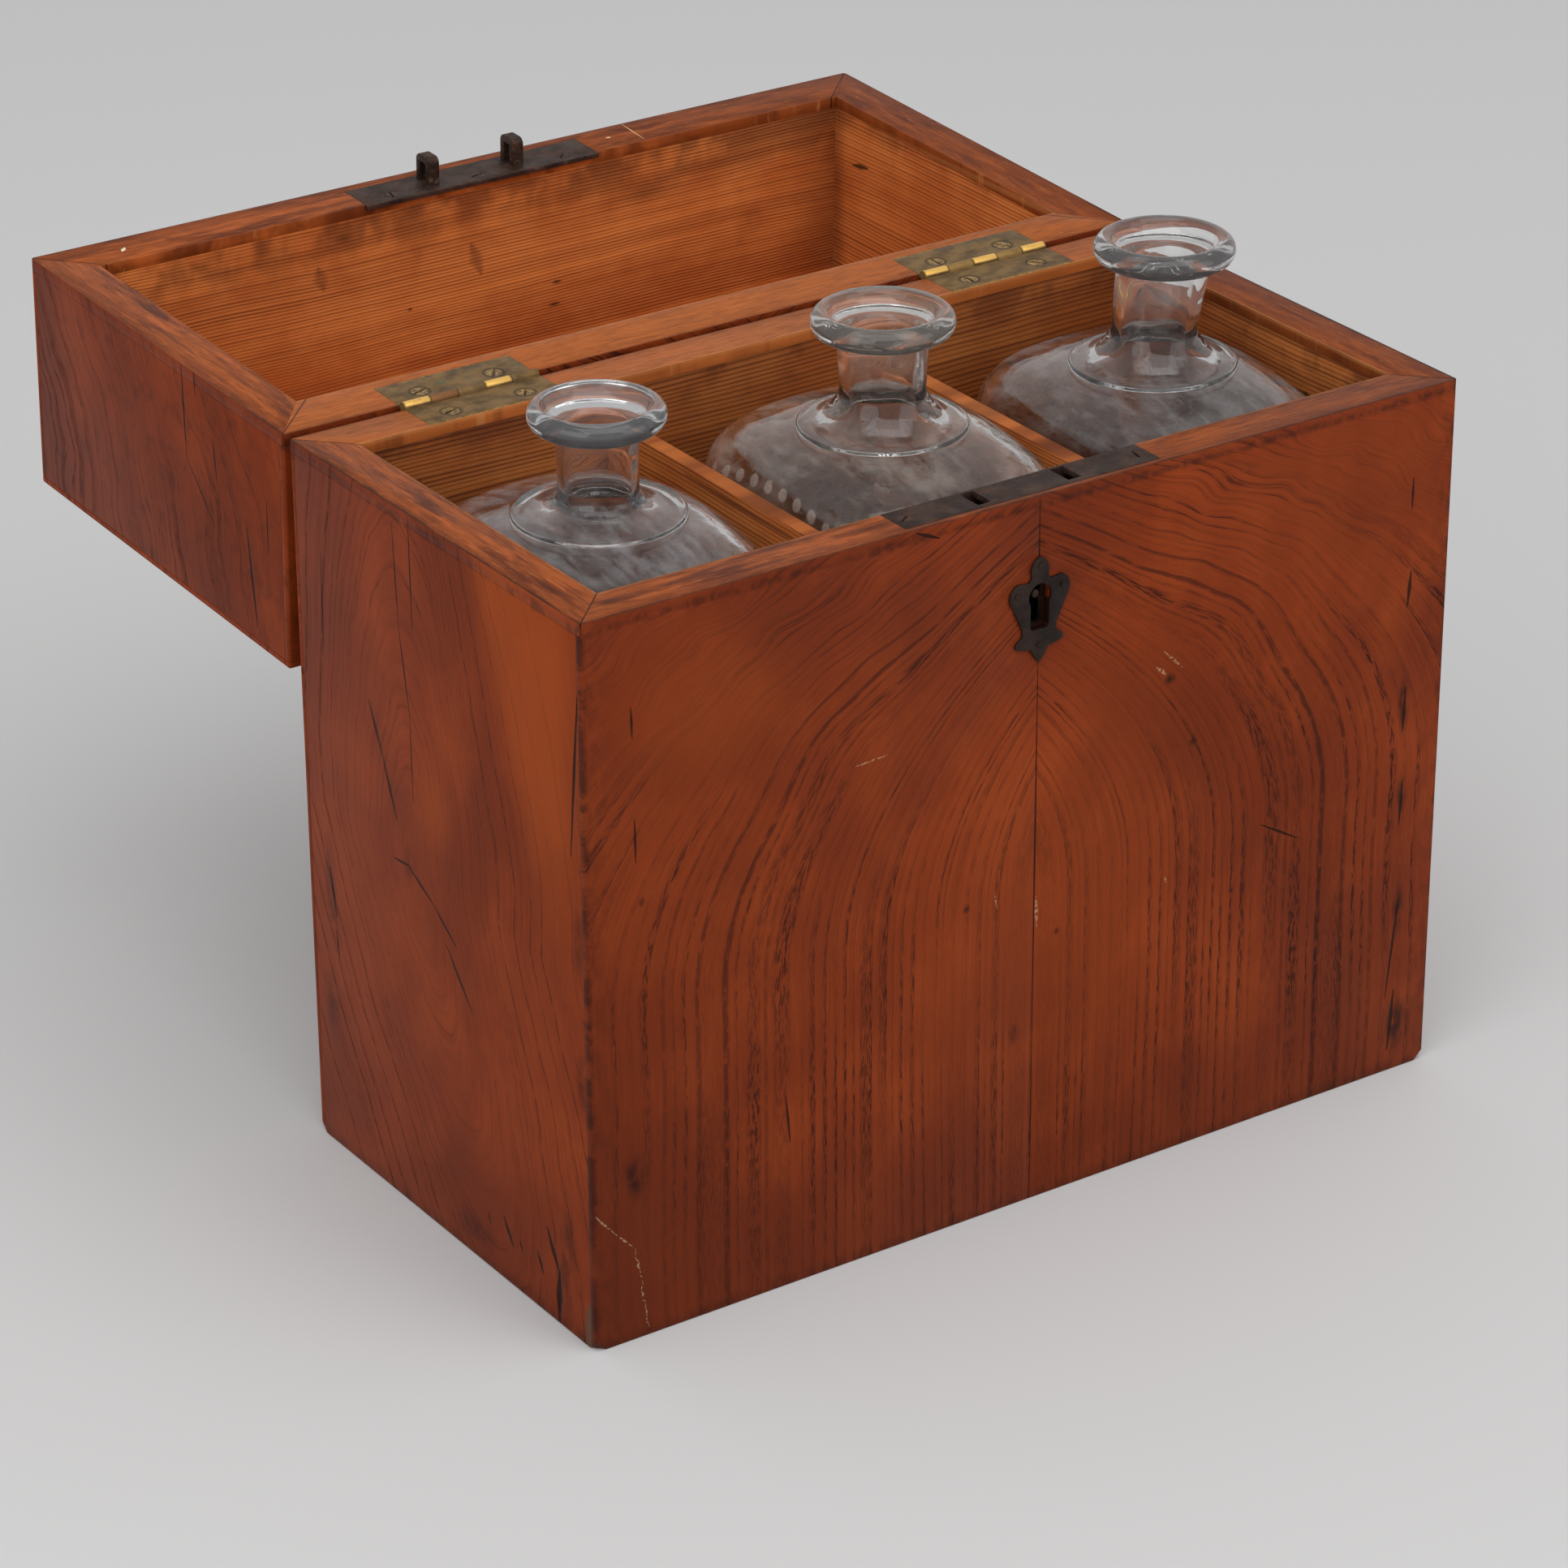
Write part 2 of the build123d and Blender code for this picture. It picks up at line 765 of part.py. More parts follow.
def bottle_glass(bottle):
    ring_z, neck_z, lip_z = bottle.ring_z(), bottle.neck_base_z(), bottle.lip_z()
    top_z = lip_z + lip_height
    bead = ring_radius + ring_bead
    ring_top = (ring_radius - ring_bead, ring_z)
    flare = turned([
        Line((0, ring_z - glass_wall), (bead, ring_z - glass_wall)),
        Line((bead, ring_z - glass_wall), (bead, ring_z - ring_bead)),
        ThreePointArc((bead, ring_z - ring_bead), (ring_radius + ring_bead / 2, ring_z), ring_top),
        Spline(ring_top, (bottle.neck_base_radius, neck_z), tangents=((-1, 0), (0, 1))),
        Line((bottle.neck_base_radius, neck_z), (0, neck_z)),
        Line((0, neck_z), (0, ring_z - glass_wall)),
    ])
    neck_foot = Pos(0, 0, neck_z) * Circle(bottle.neck_base_radius)
    neck_head = bottle.at_lip(Pos(0, 0, lip_z) * Circle(bottle.neck_top_radius))
    neck = loft([neck_foot, neck_head], ruled=True)
    lip_edge = bottle.lip_radius - lip_round
    lip = turned([
        Line((0, lip_z), (lip_edge, lip_z)),
        ThreePointArc((lip_edge, lip_z), (bottle.lip_radius, (lip_z + top_z) / 2), (lip_edge, top_z)),
        Line((lip_edge, top_z), (0, top_z)),
        Line((0, top_z), (0, lip_z)),
    ])
    return bottle_body(ring_z, 0, bottom_thickness) + flare + neck + bottle.at_lip(lip)


def kick_sphere(growth):
    # The dome pushed up into the underside
    radius = (kick_radius ** 2 + kick_height ** 2) / (kick_height * 2)
    return Pos(0, 0, bottom_thickness + kick_height - radius) * ball(radius + growth)


def bottle_space(bottle):
    # The hollow inside the glass, with its bore and the funnel of its mouth
    ring_z, neck_z, lip_z = bottle.ring_z(), bottle.neck_base_z(), bottle.lip_z()
    top_z = lip_z + lip_height
    flare_radius = ring_radius - glass_wall * 2
    inner_ring = ring_z - glass_wall
    flare = turned([
        Line((0, inner_ring - glass_wall), (flare_radius, inner_ring - glass_wall)),
        Line((flare_radius, inner_ring - glass_wall), (flare_radius, inner_ring)),
        Spline((flare_radius, inner_ring), (bore_radius, neck_z - glass_wall), tangents=((-1, 0), (0, 1))),
        Line((bore_radius, neck_z - glass_wall), (bore_radius, neck_z)),
        Line((bore_radius, neck_z), (0, neck_z)),
        Line((0, neck_z), (0, inner_ring - glass_wall)),
    ])
    bore_foot = Pos(0, 0, neck_z) * Circle(bore_radius)
    bore_head = bottle.at_lip(Pos(0, 0, lip_z) * Circle(bore_radius))
    bore = loft([bore_foot, bore_head], ruled=True)
    bulge_x, bulge_z = mouth_bulge_shares
    funnel_middle = (bore_radius + (mouth_radius - bore_radius) * bulge_x, top_z - mouth_depth * bulge_z)
    mouth = turned([
        Line((0, lip_z), (bore_radius, lip_z)),
        Line((bore_radius, lip_z), (bore_radius, top_z - mouth_depth)),
        ThreePointArc((bore_radius, top_z - mouth_depth), funnel_middle, (mouth_radius, top_z)),
        Line((mouth_radius, top_z), (mouth_radius, top_z + cut_overrun)),
        Line((mouth_radius, top_z + cut_overrun), (0, top_z + cut_overrun)),
        Line((0, top_z + cut_overrun), (0, lip_z)),
    ])
    room = bottle_body(ring_z, glass_wall, bottom_thickness + bottle_floor) - kick_sphere(bottle_floor)
    return room + flare + bore + bottle.at_lip(mouth)


def blown_bottle(bottle):
    return bottle.place(bottle_glass(bottle) - bottle_space(bottle) - kick_sphere(0))


# The base, piece by piece
def divider(x):
    y_span = (inner_front - groove_depth, inner_back + groove_depth)
    return block(around(x, divider_thickness), y_span, (bottom_thickness, divider_top))


def base_pieces():
    strips = rim_strips(base)
    strips["front"] = strips["front"] - lock_mortise() - selvedge_recess()
    sheets = veneers(base)
    front_board = end_board(base, -1) - lock_mortise()
    front_board -= keyhole_cut(keyhole_margin, lock_back + cut_overrun, front_face)
    back_board = end_board(base, 1)
    for name in ("front_veneer_left", "front_veneer_right"):
        sheets[name] -= keyhole_cut(keyhole_margin, front_wood + cut_overrun, front_face - cut_overrun)
    for hole in escutcheon_pin_holes():
        front_board -= hole
        sheets["front_veneer_left"] -= hole
        sheets["front_veneer_right"] -= hole
    for place in selvedge_screw_places():
        strips["front"] -= place * screw_hole(lock_screw_head_radius)
        front_board -= place * screw_hole(lock_screw_head_radius)
    for centre_x in (left_hinge_x, right_hinge_x):
        strips["back"] -= leaf_recess(centre_x, base.grows)
    for place in leaf_screw_places(base):
        strips["back"] -= place * screw_hole(leaf_screw_head_radius)
        back_board -= place * screw_hole(leaf_screw_head_radius)
    dividers = {"divider_left": divider(-divider_x), "divider_right": divider(divider_x)}
    for board in dividers.values():
        front_board -= board
        back_board -= board
    pieces = {"base_front_board": front_board, "base_back_board": back_board}
    pieces["base_left_board"] = side_board(base, -1)
    pieces["base_right_board"] = side_board(base, 1)
    pieces["base_bottom_board"] = panel(base)
    pieces.update({"base_" + name: sheet for name, sheet in sheets.items()})
    pieces.update({"base_rim_" + name: strip for name, strip in strips.items()})
    pieces.update(dividers)
    return pieces


# The lid, piece by piece, drawn shut
def lid_pieces():
    strips = rim_strips(lid)
    strips["front"] -= staple_plate_recess()
    front_board = end_board(lid, -1)
    back_board = end_board(lid, 1)
    for place in staple_screw_places():
        strips["front"] -= place * screw_hole(lock_screw_head_radius)
        front_board -= place * screw_hole(lock_screw_head_radius)
    for centre_x in (left_hinge_x, right_hinge_x):
        strips["back"] -= leaf_recess(centre_x, lid.grows)
    for place in leaf_screw_places(lid):
        strips["back"] -= place * screw_hole(leaf_screw_head_radius)
        back_board -= place * screw_hole(leaf_screw_head_radius)
    pieces = {"lid_front_board": front_board, "lid_back_board": back_board}
    pieces["lid_left_board"] = side_board(lid, -1)
    pieces["lid_right_board"] = side_board(lid, 1)
    pieces["lid_top_board"] = panel(lid)
    pieces["lid_top_veneer"] = lid_top_veneer()
    pieces.update({"lid_" + name: sheet for name, sheet in veneers(lid).items()})
    pieces.update({"lid_rim_" + name: strip for name, strip in strips.items()})
    pieces["hinge_leaf_lid_left"] = hinge_leaf(lid, left_hinge_x, 1)
    pieces["hinge_leaf_lid_right"] = hinge_leaf(lid, right_hinge_x, 0)
    pieces["hinge_screws_lid"] = Compound(children=leaf_screws(lid))
    pieces["staple_plate"] = staple_plate()
    pieces["staples"] = Compound(children=staples())
    pieces["staple_plate_screws"] = Compound(children=staple_screws())
    return pieces


def hardware_pieces():
    return {
        "hinge_leaf_base_left": hinge_leaf(base, left_hinge_x, 0),
        "hinge_leaf_base_right": hinge_leaf(base, right_hinge_x, 1),
        "hinge_pin_left": hinge_pin(left_hinge_x),
        "hinge_pin_right": hinge_pin(right_hinge_x),
        "hinge_screws_base": Compound(children=leaf_screws(base)),
        "lock_plate": lock_plate(),
        "lock_cap": lock_cap(),
        "lock_studs": Compound(children=lock_studs()),
        "lock_drill_pin": drill_pin(),
        "lock_bolt": lock_bolt(),
        "lock_spring": lock_spring(),
        "selvedge_screws": Compound(children=selvedge_screws()),
        "escutcheon": escutcheon(),
        "escutcheon_pins": Compound(children=escutcheon_pins()),
    }


def opened(shape):
    return shape.rotate(Axis((0, axis_y, base_height), (1, 0, 0)), -lid_open_angle)


os.makedirs("parts", exist_ok=True)
model = base_pieces()
model.update(hardware_pieces())
model.update({name: opened(shape) for name, shape in lid_pieces().items()})
model.update({"bottle_" + bottle.name: blown_bottle(bottle) for bottle in bottles})
for name, shape in model.items():
    export_step(shape, "parts/" + name + ".step")
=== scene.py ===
import json
import math
import bpy
from mathutils import Matrix, Vector


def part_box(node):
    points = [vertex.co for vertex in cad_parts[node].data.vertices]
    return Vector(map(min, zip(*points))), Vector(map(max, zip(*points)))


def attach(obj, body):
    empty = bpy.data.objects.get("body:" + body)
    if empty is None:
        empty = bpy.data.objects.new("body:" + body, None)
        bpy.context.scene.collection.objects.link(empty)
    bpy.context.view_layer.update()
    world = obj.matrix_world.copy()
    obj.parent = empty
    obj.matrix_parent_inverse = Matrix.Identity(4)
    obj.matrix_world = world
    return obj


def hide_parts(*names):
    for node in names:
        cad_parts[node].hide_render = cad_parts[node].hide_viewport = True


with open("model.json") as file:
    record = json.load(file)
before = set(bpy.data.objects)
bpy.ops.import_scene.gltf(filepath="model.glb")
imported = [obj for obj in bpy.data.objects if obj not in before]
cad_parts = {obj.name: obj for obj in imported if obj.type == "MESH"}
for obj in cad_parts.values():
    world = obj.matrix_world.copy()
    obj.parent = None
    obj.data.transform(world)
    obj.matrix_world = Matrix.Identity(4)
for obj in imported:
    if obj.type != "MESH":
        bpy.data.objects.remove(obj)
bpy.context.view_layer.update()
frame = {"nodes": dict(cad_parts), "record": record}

nodes = frame["nodes"]
bodyOf = {node: body for body, members in frame["record"]["behaviour"]["bodies"].items() for node in members}


# Shader maths: a wire is one socket, and sums on wires add their nodes
def joining(operation, swapped=False):
    def method(self, *others):
        values = (self, *others)
        return self.finish.node("ShaderNodeMath", {"operation": operation},
                                dict(enumerate(values[::-1] if swapped else values)))
    return method


class Wire:
    def __init__(self, finish, socket):
        self.finish = finish
        self.socket = socket

    __add__, __radd__ = joining("ADD"), joining("ADD", True)
    __sub__, __rsub__ = joining("SUBTRACT"), joining("SUBTRACT", True)
    __mul__, __rmul__ = joining("MULTIPLY"), joining("MULTIPLY", True)
    __truediv__, __abs__ = joining("DIVIDE"), joining("ABSOLUTE")
    atLeast, atMost = joining("MAXIMUM"), joining("MINIMUM")
    floor, fraction, root = joining("FLOOR"), joining("FRACT"), joining("SQRT")


def tint(code):
    # A colour as it looks on screen, made linear for the shader
    channels = [int(code[i:i + 2], 16) / 255 for i in (0, 2, 4)]
    return tuple(c / 12.92 if c <= 0.04045 else ((c + 0.055) / 1.055) ** 2.4 for c in channels) + (1.0,)


class Finish:
    def __init__(self, name, looks):
        self.material = bpy.data.materials.new(name)
        self.material.use_nodes = True
        self.tree = self.material.node_tree
        self.shader = self.tree.nodes["Principled BSDF"]
        for socketName, value in looks.items():
            self.shader.inputs[socketName].default_value = value

    def node(self, kind, settings=None, inputs=None, out=0):
        made = self.tree.nodes.new(kind)
        for name, value in (settings or {}).items():
            setattr(made, name, value)
        for key, value in (inputs or {}).items():
            if isinstance(value, Wire):
                self.tree.links.new(value.socket, made.inputs[key])
            else:
                made.inputs[key].default_value = value
        return Wire(self, made.outputs[out])

    def millimetres(self):
        # The piece's own place in the shared frame, in millimetres
        place = self.node("ShaderNodeTexCoord", out=3)
        scaled = self.node("ShaderNodeVectorMath", {"operation": "SCALE"}, {0: place, "Scale": 1000.0})
        parts = self.tree.nodes.new("ShaderNodeSeparateXYZ")
        self.tree.links.new(scaled.socket, parts.inputs[0])
        return [Wire(self, output) for output in parts.outputs]

    def finish(self, colour, roughness, height, depth):
        links = self.tree.links
        if colour is not None:
            links.new(colour.socket, self.shader.inputs["Base Color"])
            links.new(roughness.socket, self.shader.inputs["Roughness"])
        bump = self.node("ShaderNodeBump", None, {"Height": height, "Strength": 1.0, "Distance": depth})
        links.new(bump.socket, self.shader.inputs["Normal"])
        return self.material


def finishOf(*values):
    # The finish whose wires are among the values
    return next(value.finish for value in values if isinstance(value, Wire))


def noise(u, v, w=0.0, detail=2.0, rough=0.5):
    finish = finishOf(u, v, w)
    place = finish.node("ShaderNodeCombineXYZ", None, {0: u, 1: v, 2: w})
    return finish.node("ShaderNodeTexNoise", None,
                       {"Vector": place, "Scale": 1.0, "Detail": detail, "Roughness": rough})


def rise(value, low, high):
    return value.finish.node("ShaderNodeMapRange", {"interpolation_type": "SMOOTHSTEP"},
                             {0: value, 1: low, 2: high, 3: 0.0, 4: 1.0})


def fall(value, low, high):
    return 1.0 - rise(value, low, high)


def blend(factor, first, second):
    finish = finishOf(factor, first, second)
    return finish.node("ShaderNodeMix", {"data_type": "RGBA"}, {0: factor, 6: first, 7: second}, out=2)


def shade(colour, factor):
    # Multiplies a colour by a number
    return factor.finish.node("ShaderNodeVectorMath", {"operation": "SCALE"}, {0: colour, "Scale": factor})


def distance(u, v):
    return (u * u + v * v).root()


def spot(u, v, centre, size, soft=0.6):
    return fall(distance((u - centre[0]) / size[0], (v - centre[1]) / size[1]), 1.0 - soft, 1.0)


def stroke(u, v, start, end, width, soft=0.5):
    # A line from start to end that tapers at both ends
    runU, runV = end[0] - start[0], end[1] - start[1]
    du, dv = u - start[0], v - start[1]
    share = ((du * runU + dv * runV) / (runU ** 2 + runV ** 2)).atLeast(0.0).atMost(1.0)
    away = distance(du - share * runU, dv - share * runV)
    taper = 1.0 - abs(share * 2.0 - 1.0) * 0.75
    return fall(away / taper, width * (1.0 - soft), width * (1.0 + soft))


def union(masks):
    whole = masks[0]
    for mask in masks[1:]:
        whole = whole.atLeast(mask)
    return whole


def strokes(u, v, lines):
    return union([stroke(u, v, *line) for line in lines])


def spots(u, v, places, soft):
    return union([spot(u, v, centre, size, soft) for centre, size in places])


def between(value, low, high):
    return rise(value, low, low + 1.0) * fall(value, high - 1.0, high)


def wear(colour, masks):
    # Lays each (mask, colour) over the last
    for mask, over in masks:
        colour = blend(mask, colour, over)
    return colour


# Places that several finishes and pieces share, in millimetres
case = {"halfWidth": 165.0, "halfDepth": 84.5, "rimZ": 246.0, "hingeY": 86.55, "wall": 16.0, "lidWall": 18.5,
        "jointZ": 242.0}

veneer = {
    "light": tint("96421a"), "middle": tint("782f11"), "deep": tint("5d2410"), "pore": tint("2a110b"),
    # orangeSheen is the colour of painted sheen on the veneer, a lighter orange
    "orangeSheen": tint("a54b1a"), "edge": tint("34150d"), "dirt": tint("1d0f0b"), "scratch": tint("b08a68"),
    "poreLength": 5.0, "looks": {"Roughness": 0.45, "Specular IOR Level": 0.08},
}


def archFigure(x, height, seed):
    # Book-matched leaves: pointed arches that meet on the middle seam and stand upright below
    side = abs(x)
    sway = (noise(side * 0.012, height * 0.009, seed, 0.0) - 0.5) * 10.0
    waves = (noise(side * 0.03, height * 0.045, seed + 3.0, 1.0) - 0.5) * 44.0
    lift = ((height - 110.0 + sway * 0.4) / 11.8).atLeast(0.0)
    upper = rise(height, 185.0, 235.0) * rise(side, 20.0, 80.0)
    across = side + lift * lift + sway * rise(side, 4.0, 70.0) + waves * upper
    across = across - spot(side, height, (84.0, 200.0), (46.0, 44.0), 1.0) * 11.0
    fade = 1.0 - rise(side, 78.0, 112.0) * rise(height, 165.0, 200.0) * 0.5
    return across - (across - 88.0).atLeast(0.0) * 0.45, height, fade


def swirlFigure(u, v, seed):
    # A tall swirl round a knot, upright above it and running down to the right below
    sway = (noise(u * 0.016, v * 0.012, seed, 1.0) - 0.5) * 9.0
    ripple = (noise(u * 0.06, v * 0.05, seed + 2.0, 1.0) - 0.5) * 3.0
    lean = u + v.atMost(0.0) * 0.4 + sway
    tall = v * (0.32 + rise(u, 15.0, 60.0) * rise(v, 0.0, 40.0) * 0.24)
    across = distance(lean, tall) + ripple
    return across, v - u * 0.3, 1.0 - fall(across, 2.0, 30.0) * 0.35


def bentFigure(u, v, seed):
    # Lines that come down steeply and bow outwards, for the sides of the lid
    sway = (noise(u * 0.02, v * 0.02, seed) - 0.5) * 26.0
    bow = (v + 90.0).atLeast(0.0) / 10.0
    return u + sway + bow * bow * 0.34, v, 1.0


def veneerSurface(across, along, u, v, seed, pitch, strength):
    # Rings crowd together in places
    crowd = noise(across * 0.04, seed, 0.0, 1.0) * 4.0
    crowd = crowd + noise(across * 0.17, seed + 6.0, 0.0, 0.0) * 2.2
    count = across / pitch + crowd
    ring = count.fraction()
    weight = noise(count.floor() * 0.73, seed + 9.0, along * 0.008, 0.0)
    heavy = rise(weight, 0.4, 0.66)
    band = rise(ring, 0.0, 0.1) * fall(ring, 0.14, 0.6)
    pores = rise(noise(across * 2.1, along / veneer["poreLength"], seed, 3.0, 0.6), 0.46, 0.57)
    streaks = noise(across * 1.1, along * 0.028, seed + 5.0, 4.0, 0.62)
    hairs = noise(across * 3.2, along * 0.12, seed + 7.0, 3.0, 0.7)
    patches = noise(u * 0.014, v * 0.011, seed + 1.0, 2.0, 0.5)
    clouds = noise(u * 0.045, v * 0.03, seed + 2.0, 3.0, 0.55)
    faint = rise(noise(u * 0.02, v * 0.02, seed + 4.0, 1.0), 0.3, 0.6)
    lines = band * (0.14 + pores * 0.9) * (0.3 + heavy * 0.62)
    lines = lines * (0.6 + faint * 0.4) * strength
    colour = blend(0.45 + rise(patches, 0.3, 0.6) * 0.55, veneer["deep"], veneer["middle"])
    colour = blend(rise(clouds * 0.5 + patches * 0.5, 0.42, 0.7) * 0.5, colour, veneer["light"])
    colour = shade(colour, 0.49 + streaks * 0.66 + hairs * 0.4 + weight * 0.06)
    colour = blend((lines * 0.96).atMost(0.84), colour, veneer["pore"])
    return colour, lines, streaks, hairs


def dressVeneer(name, figure, plane, seed, marks, ringPitch=4.2, strength=1.0, boldLines=()):
    finish = Finish(name, veneer["looks"])
    x, y, z = finish.millimetres()
    u, v = plane(x, y, z)
    across, along, fade = figure(u, v, seed)
    colour, lines, streaks, hairs = veneerSurface(across, along, u, v, seed, ringPitch, fade * strength)
    for index, (place, width, depth) in enumerate(boldLines):
        # A dark ring drawn by dashes, with a soft side towards the middle
        dash = noise(across * 0.8, along * 0.16, seed + 30.0 + index, 3.0, 0.65)
        off = across - place
        bold = rise(off, -width, -width * 0.3) * fall(off, width * 0.1, width * 0.5)
        bold = bold * rise(dash, 0.36, 0.54) * depth * fade
        colour = blend(bold * 0.72, colour, veneer["pore"])
        lines = lines.atLeast(bold)
    masks, dents = marks(x, y, z)
    colour = wear(colour, masks)
    roughness = 0.36 + lines * 0.2 + hairs * 0.12
    return finish.finish(colour, roughness, streaks * 0.16 - lines * 0.55 - dents, 0.00022)


def cornerGrime(along, edge, width, seed, u, v):
    # Dark, rubbed-in dirt near a sharp edge, broken by noise
    ragged = (noise(u * 0.08, v * 0.08, seed, 3.0, 0.6) - 0.5) * width * 1.6
    return fall(abs(along - edge) + ragged, 0.0, width)


def frontMarks(x, y, z):
    dark = veneer["dirt"]
    scratches = [((49.5, 181), (57, 173.5), 0.5), ((46.5, 176.5), (51, 172.5), 0.7),
                 ((0.9, 109), (1.4, 98.5), 0.7), ((-15.5, 116), (-14, 109), 0.3),
                 ((-69, 173.6), (-56, 174.3), 0.35), ((52.2, 101), (52.9, 98.8), 0.4)]
    cracks = [((148.6, 216), (148.6, 205), 0.5), ((149.4, 183), (148.6, 171), 0.8),
              ((91, 108.6), (106.5, 99.4), 0.42), ((-148.2, 215), (-147.9, 205), 0.42),
              ((-147.6, 178.5), (-147.4, 164), 0.4), ((-94.2, 68), (-92.6, 51), 0.42),
              ((-46, 245), (-37.5, 241.4), 0.6), ((151, 66), (147, 28), 0.5), ((0.2, 191), (0.2, 60), 0.3),
              ((0, 246), (0, 192), 0.28), ((0.2, 60), (0.2, 0), 0.16), ((149.5, 142), (149, 126), 0.6),
              ((150, 108), (149.4, 92), 0.6), ((150.6, 30), (149, 8), 0.8)]
    stains = [((152.5, 17), (7, 14)), ((151, 60), (3.5, 12)), ((150, 103), (3, 9)), ((-150, 57), (6, 11)),
              ((149, 136), (3.5, 14)), ((-145.6, 150.4), (1.6, 2.2)), ((52, 171), (3.2, 2.6)),
              ((-7, 62), (3, 5)), ((9, 94.5), (2.4, 1.8)), ((-26, 112.5), (2, 2)), ((62, 147), (2.5, 3))]
    pale = strokes(x, z, scratches)
    crackMask = strokes(x, z, cracks)
    stainMask = spots(x, z, stains, 0.9)
    blotch = noise(x * 0.22, z * 0.12, 4.0, 3.0, 0.6)
    broken = rise(noise(x * 0.9, z * 0.9, 8.0, 2.0, 0.6), 0.42, 0.56)
    corner = [(-165, 49), (-158, 40.5), (-150.5, 32.5), (-148, 20), (-145.6, 1.5)]
    wobble = (noise(x * 0.3, z * 0.3, 17.0, 2.0) - 0.5) * 4.0
    split = strokes(x + wobble, z - wobble, [(*ends, 0.36) for ends in zip(corner, corner[1:])])
    # painted sheen: lighter orange patches high on the front, partly the wood's own orange tone
    orangeSheen = union([spot(x, z, (-120, 206), (46, 36), 0.95),
                  spot(x, z, (105, 222), (50, 30), 0.95) * 0.25])
    warm = spot(x, z, (6, 110), (78, 110), 0.95)
    shady = spots(x, z, [((112, 225), (90, 60)), ((-70, 226), (60, 36))], 0.95)
    dusk = fall(x, -168.0, -60.0) * (1.0 - rise(z, 20.0, 200.0) * 0.6)
    foot = fall(z, 0.0, 62.0)
    side = rise(abs(x), 150.0, 168.0)
    topDirt = cornerGrime(z, 243.0, 2.2, 2.0, x, z)
    edgeDirt = cornerGrime(abs(x), 165.0, 2.0, 3.0, x, z)
    rest = fall(z, 0.0, 5.0)
    patchy = rise(blotch, 0.36, 0.6)
    masks = [
        (orangeSheen * 0.3, veneer["orangeSheen"]),
        (warm * 0.3, veneer["light"]),
        (dusk * 0.6, veneer["deep"]),
        (shady * 0.3, veneer["deep"]),
        (foot * 0.3, veneer["deep"]),
        (side * rise(blotch, 0.4, 0.62) * 0.35, veneer["edge"]),
        (stainMask * rise(blotch, 0.3, 0.62) * 0.85, dark),
        (edgeDirt * patchy * 0.7, veneer["edge"]),
        (topDirt * patchy * 0.6, veneer["edge"]),
        (rest * rise(blotch, 0.3, 0.6) * 0.5, veneer["edge"]),
        (spot(x, z, (0, 207), (5.6, 8.5), 0.2) * 0.95, dark),
        (crackMask * 0.9, dark),
        (pale * broken * 0.75, veneer["scratch"]),
        (split * broken * 0.7, tint("b39473")),
    ]
    return masks, crackMask * 1.4 + split * 0.8


def leftMarks(x, y, z):
    dark = veneer["dirt"]
    cracks = [((40.9, 173.5), (33.5, 157), 0.75), ((33.5, 157), (26.2, 138), 0.7),
              ((22.5, 240), (20.5, 205), 0.34), ((20.5, 205), (15.8, 178), 0.4),
              ((15.8, 178), (15.6, 148), 0.3), ((12.6, 246), (12.3, 208), 0.35),
              ((19.5, 124), (5.5, 117), 0.6), ((5.5, 117), (-8, 107.5), 0.55),
              ((-1.5, 106), (-16.5, 88), 0.62), ((29, 123.5), (19, 124.5), 0.4),
              ((70.5, 103), (67.4, 86), 0.7), ((68, 81), (66.8, 71), 0.5),
              ((-31.5, 23), (-36.8, 14.5), 0.9), ((-41, 19), (-42.4, 15), 0.5),
              ((-51.5, 20), (-54.5, 13.5), 0.8), ((-57.5, 31.5), (-64.2, 18), 1.2),
              ((-64.2, 19), (-63.4, 1), 1.8), ((-82.5, 226), (-76.6, 168), 0.75),
              ((67.5, 214), (68.2, 180), 0.35), ((-22, 20), (-23.5, 16), 0.4)]
    crackMask = strokes(y, z, cracks)
    blotch = noise(y * 0.16, z * 0.1, 14.0, 3.0, 0.6)
    stains = [((19, 125), (6, 9)), ((70, 95), (6, 26)), ((73, 52), (7, 16)), ((-80, 92), (5, 16)),
              ((-70, 34), (6, 22)), ((-14, 10), (20, 8)), ((-80, 140), (5, 20)), ((-68, 20), (8, 20))]
    stainMask = spots(y, z, stains, 0.95)
    # painted sheen: the upper front of this side made lighter and more orange, partly the wood's own tone
    past = 0.0 - y - 20.0 - (246.0 - z) * 0.35
    orangeSheen = rise(past, -6.0, 12.0) * rise(z, 110.0, 190.0)
    orangeSheen = orangeSheen * (1.0 - rise(0.0 - y, 66.0, 84.0) * 0.7)
    # painted sheen: a soft upright patch of light on the side
    paintedSheenBand = spot(y, z, (4, 150), (16, 26), 0.95)
    dull = spot(y, z, (-40, 20), (60, 60), 0.95)
    topDirt = cornerGrime(z, 243.0, 2.6, 12.0, y, z)
    edgeDirt = cornerGrime(abs(y), 84.5, 3.0, 13.0, y, z)
    rest = fall(z, 0.0, 6.0)
    worn = spot(y, z, (-85, 4), (7.5, 16), 0.25)
    patchy = rise(blotch, 0.36, 0.6)
    masks = [
        (orangeSheen * 0.5, veneer["orangeSheen"]),
        (paintedSheenBand * 0.35, veneer["orangeSheen"]),
        (dull * 0.25, veneer["deep"]),
        (stainMask * rise(blotch, 0.3, 0.62) * 0.6, veneer["edge"]),
        (edgeDirt * patchy * 0.7, veneer["edge"]),
        (topDirt * patchy * 0.55, veneer["edge"]),
        (rest * rise(blotch, 0.3, 0.6) * 0.5, veneer["edge"]),
        (crackMask * 0.92, dark),
        (worn * 0.85, tint("5b4433")),
    ]
    return masks, crackMask * 1.6 + worn * 0.8


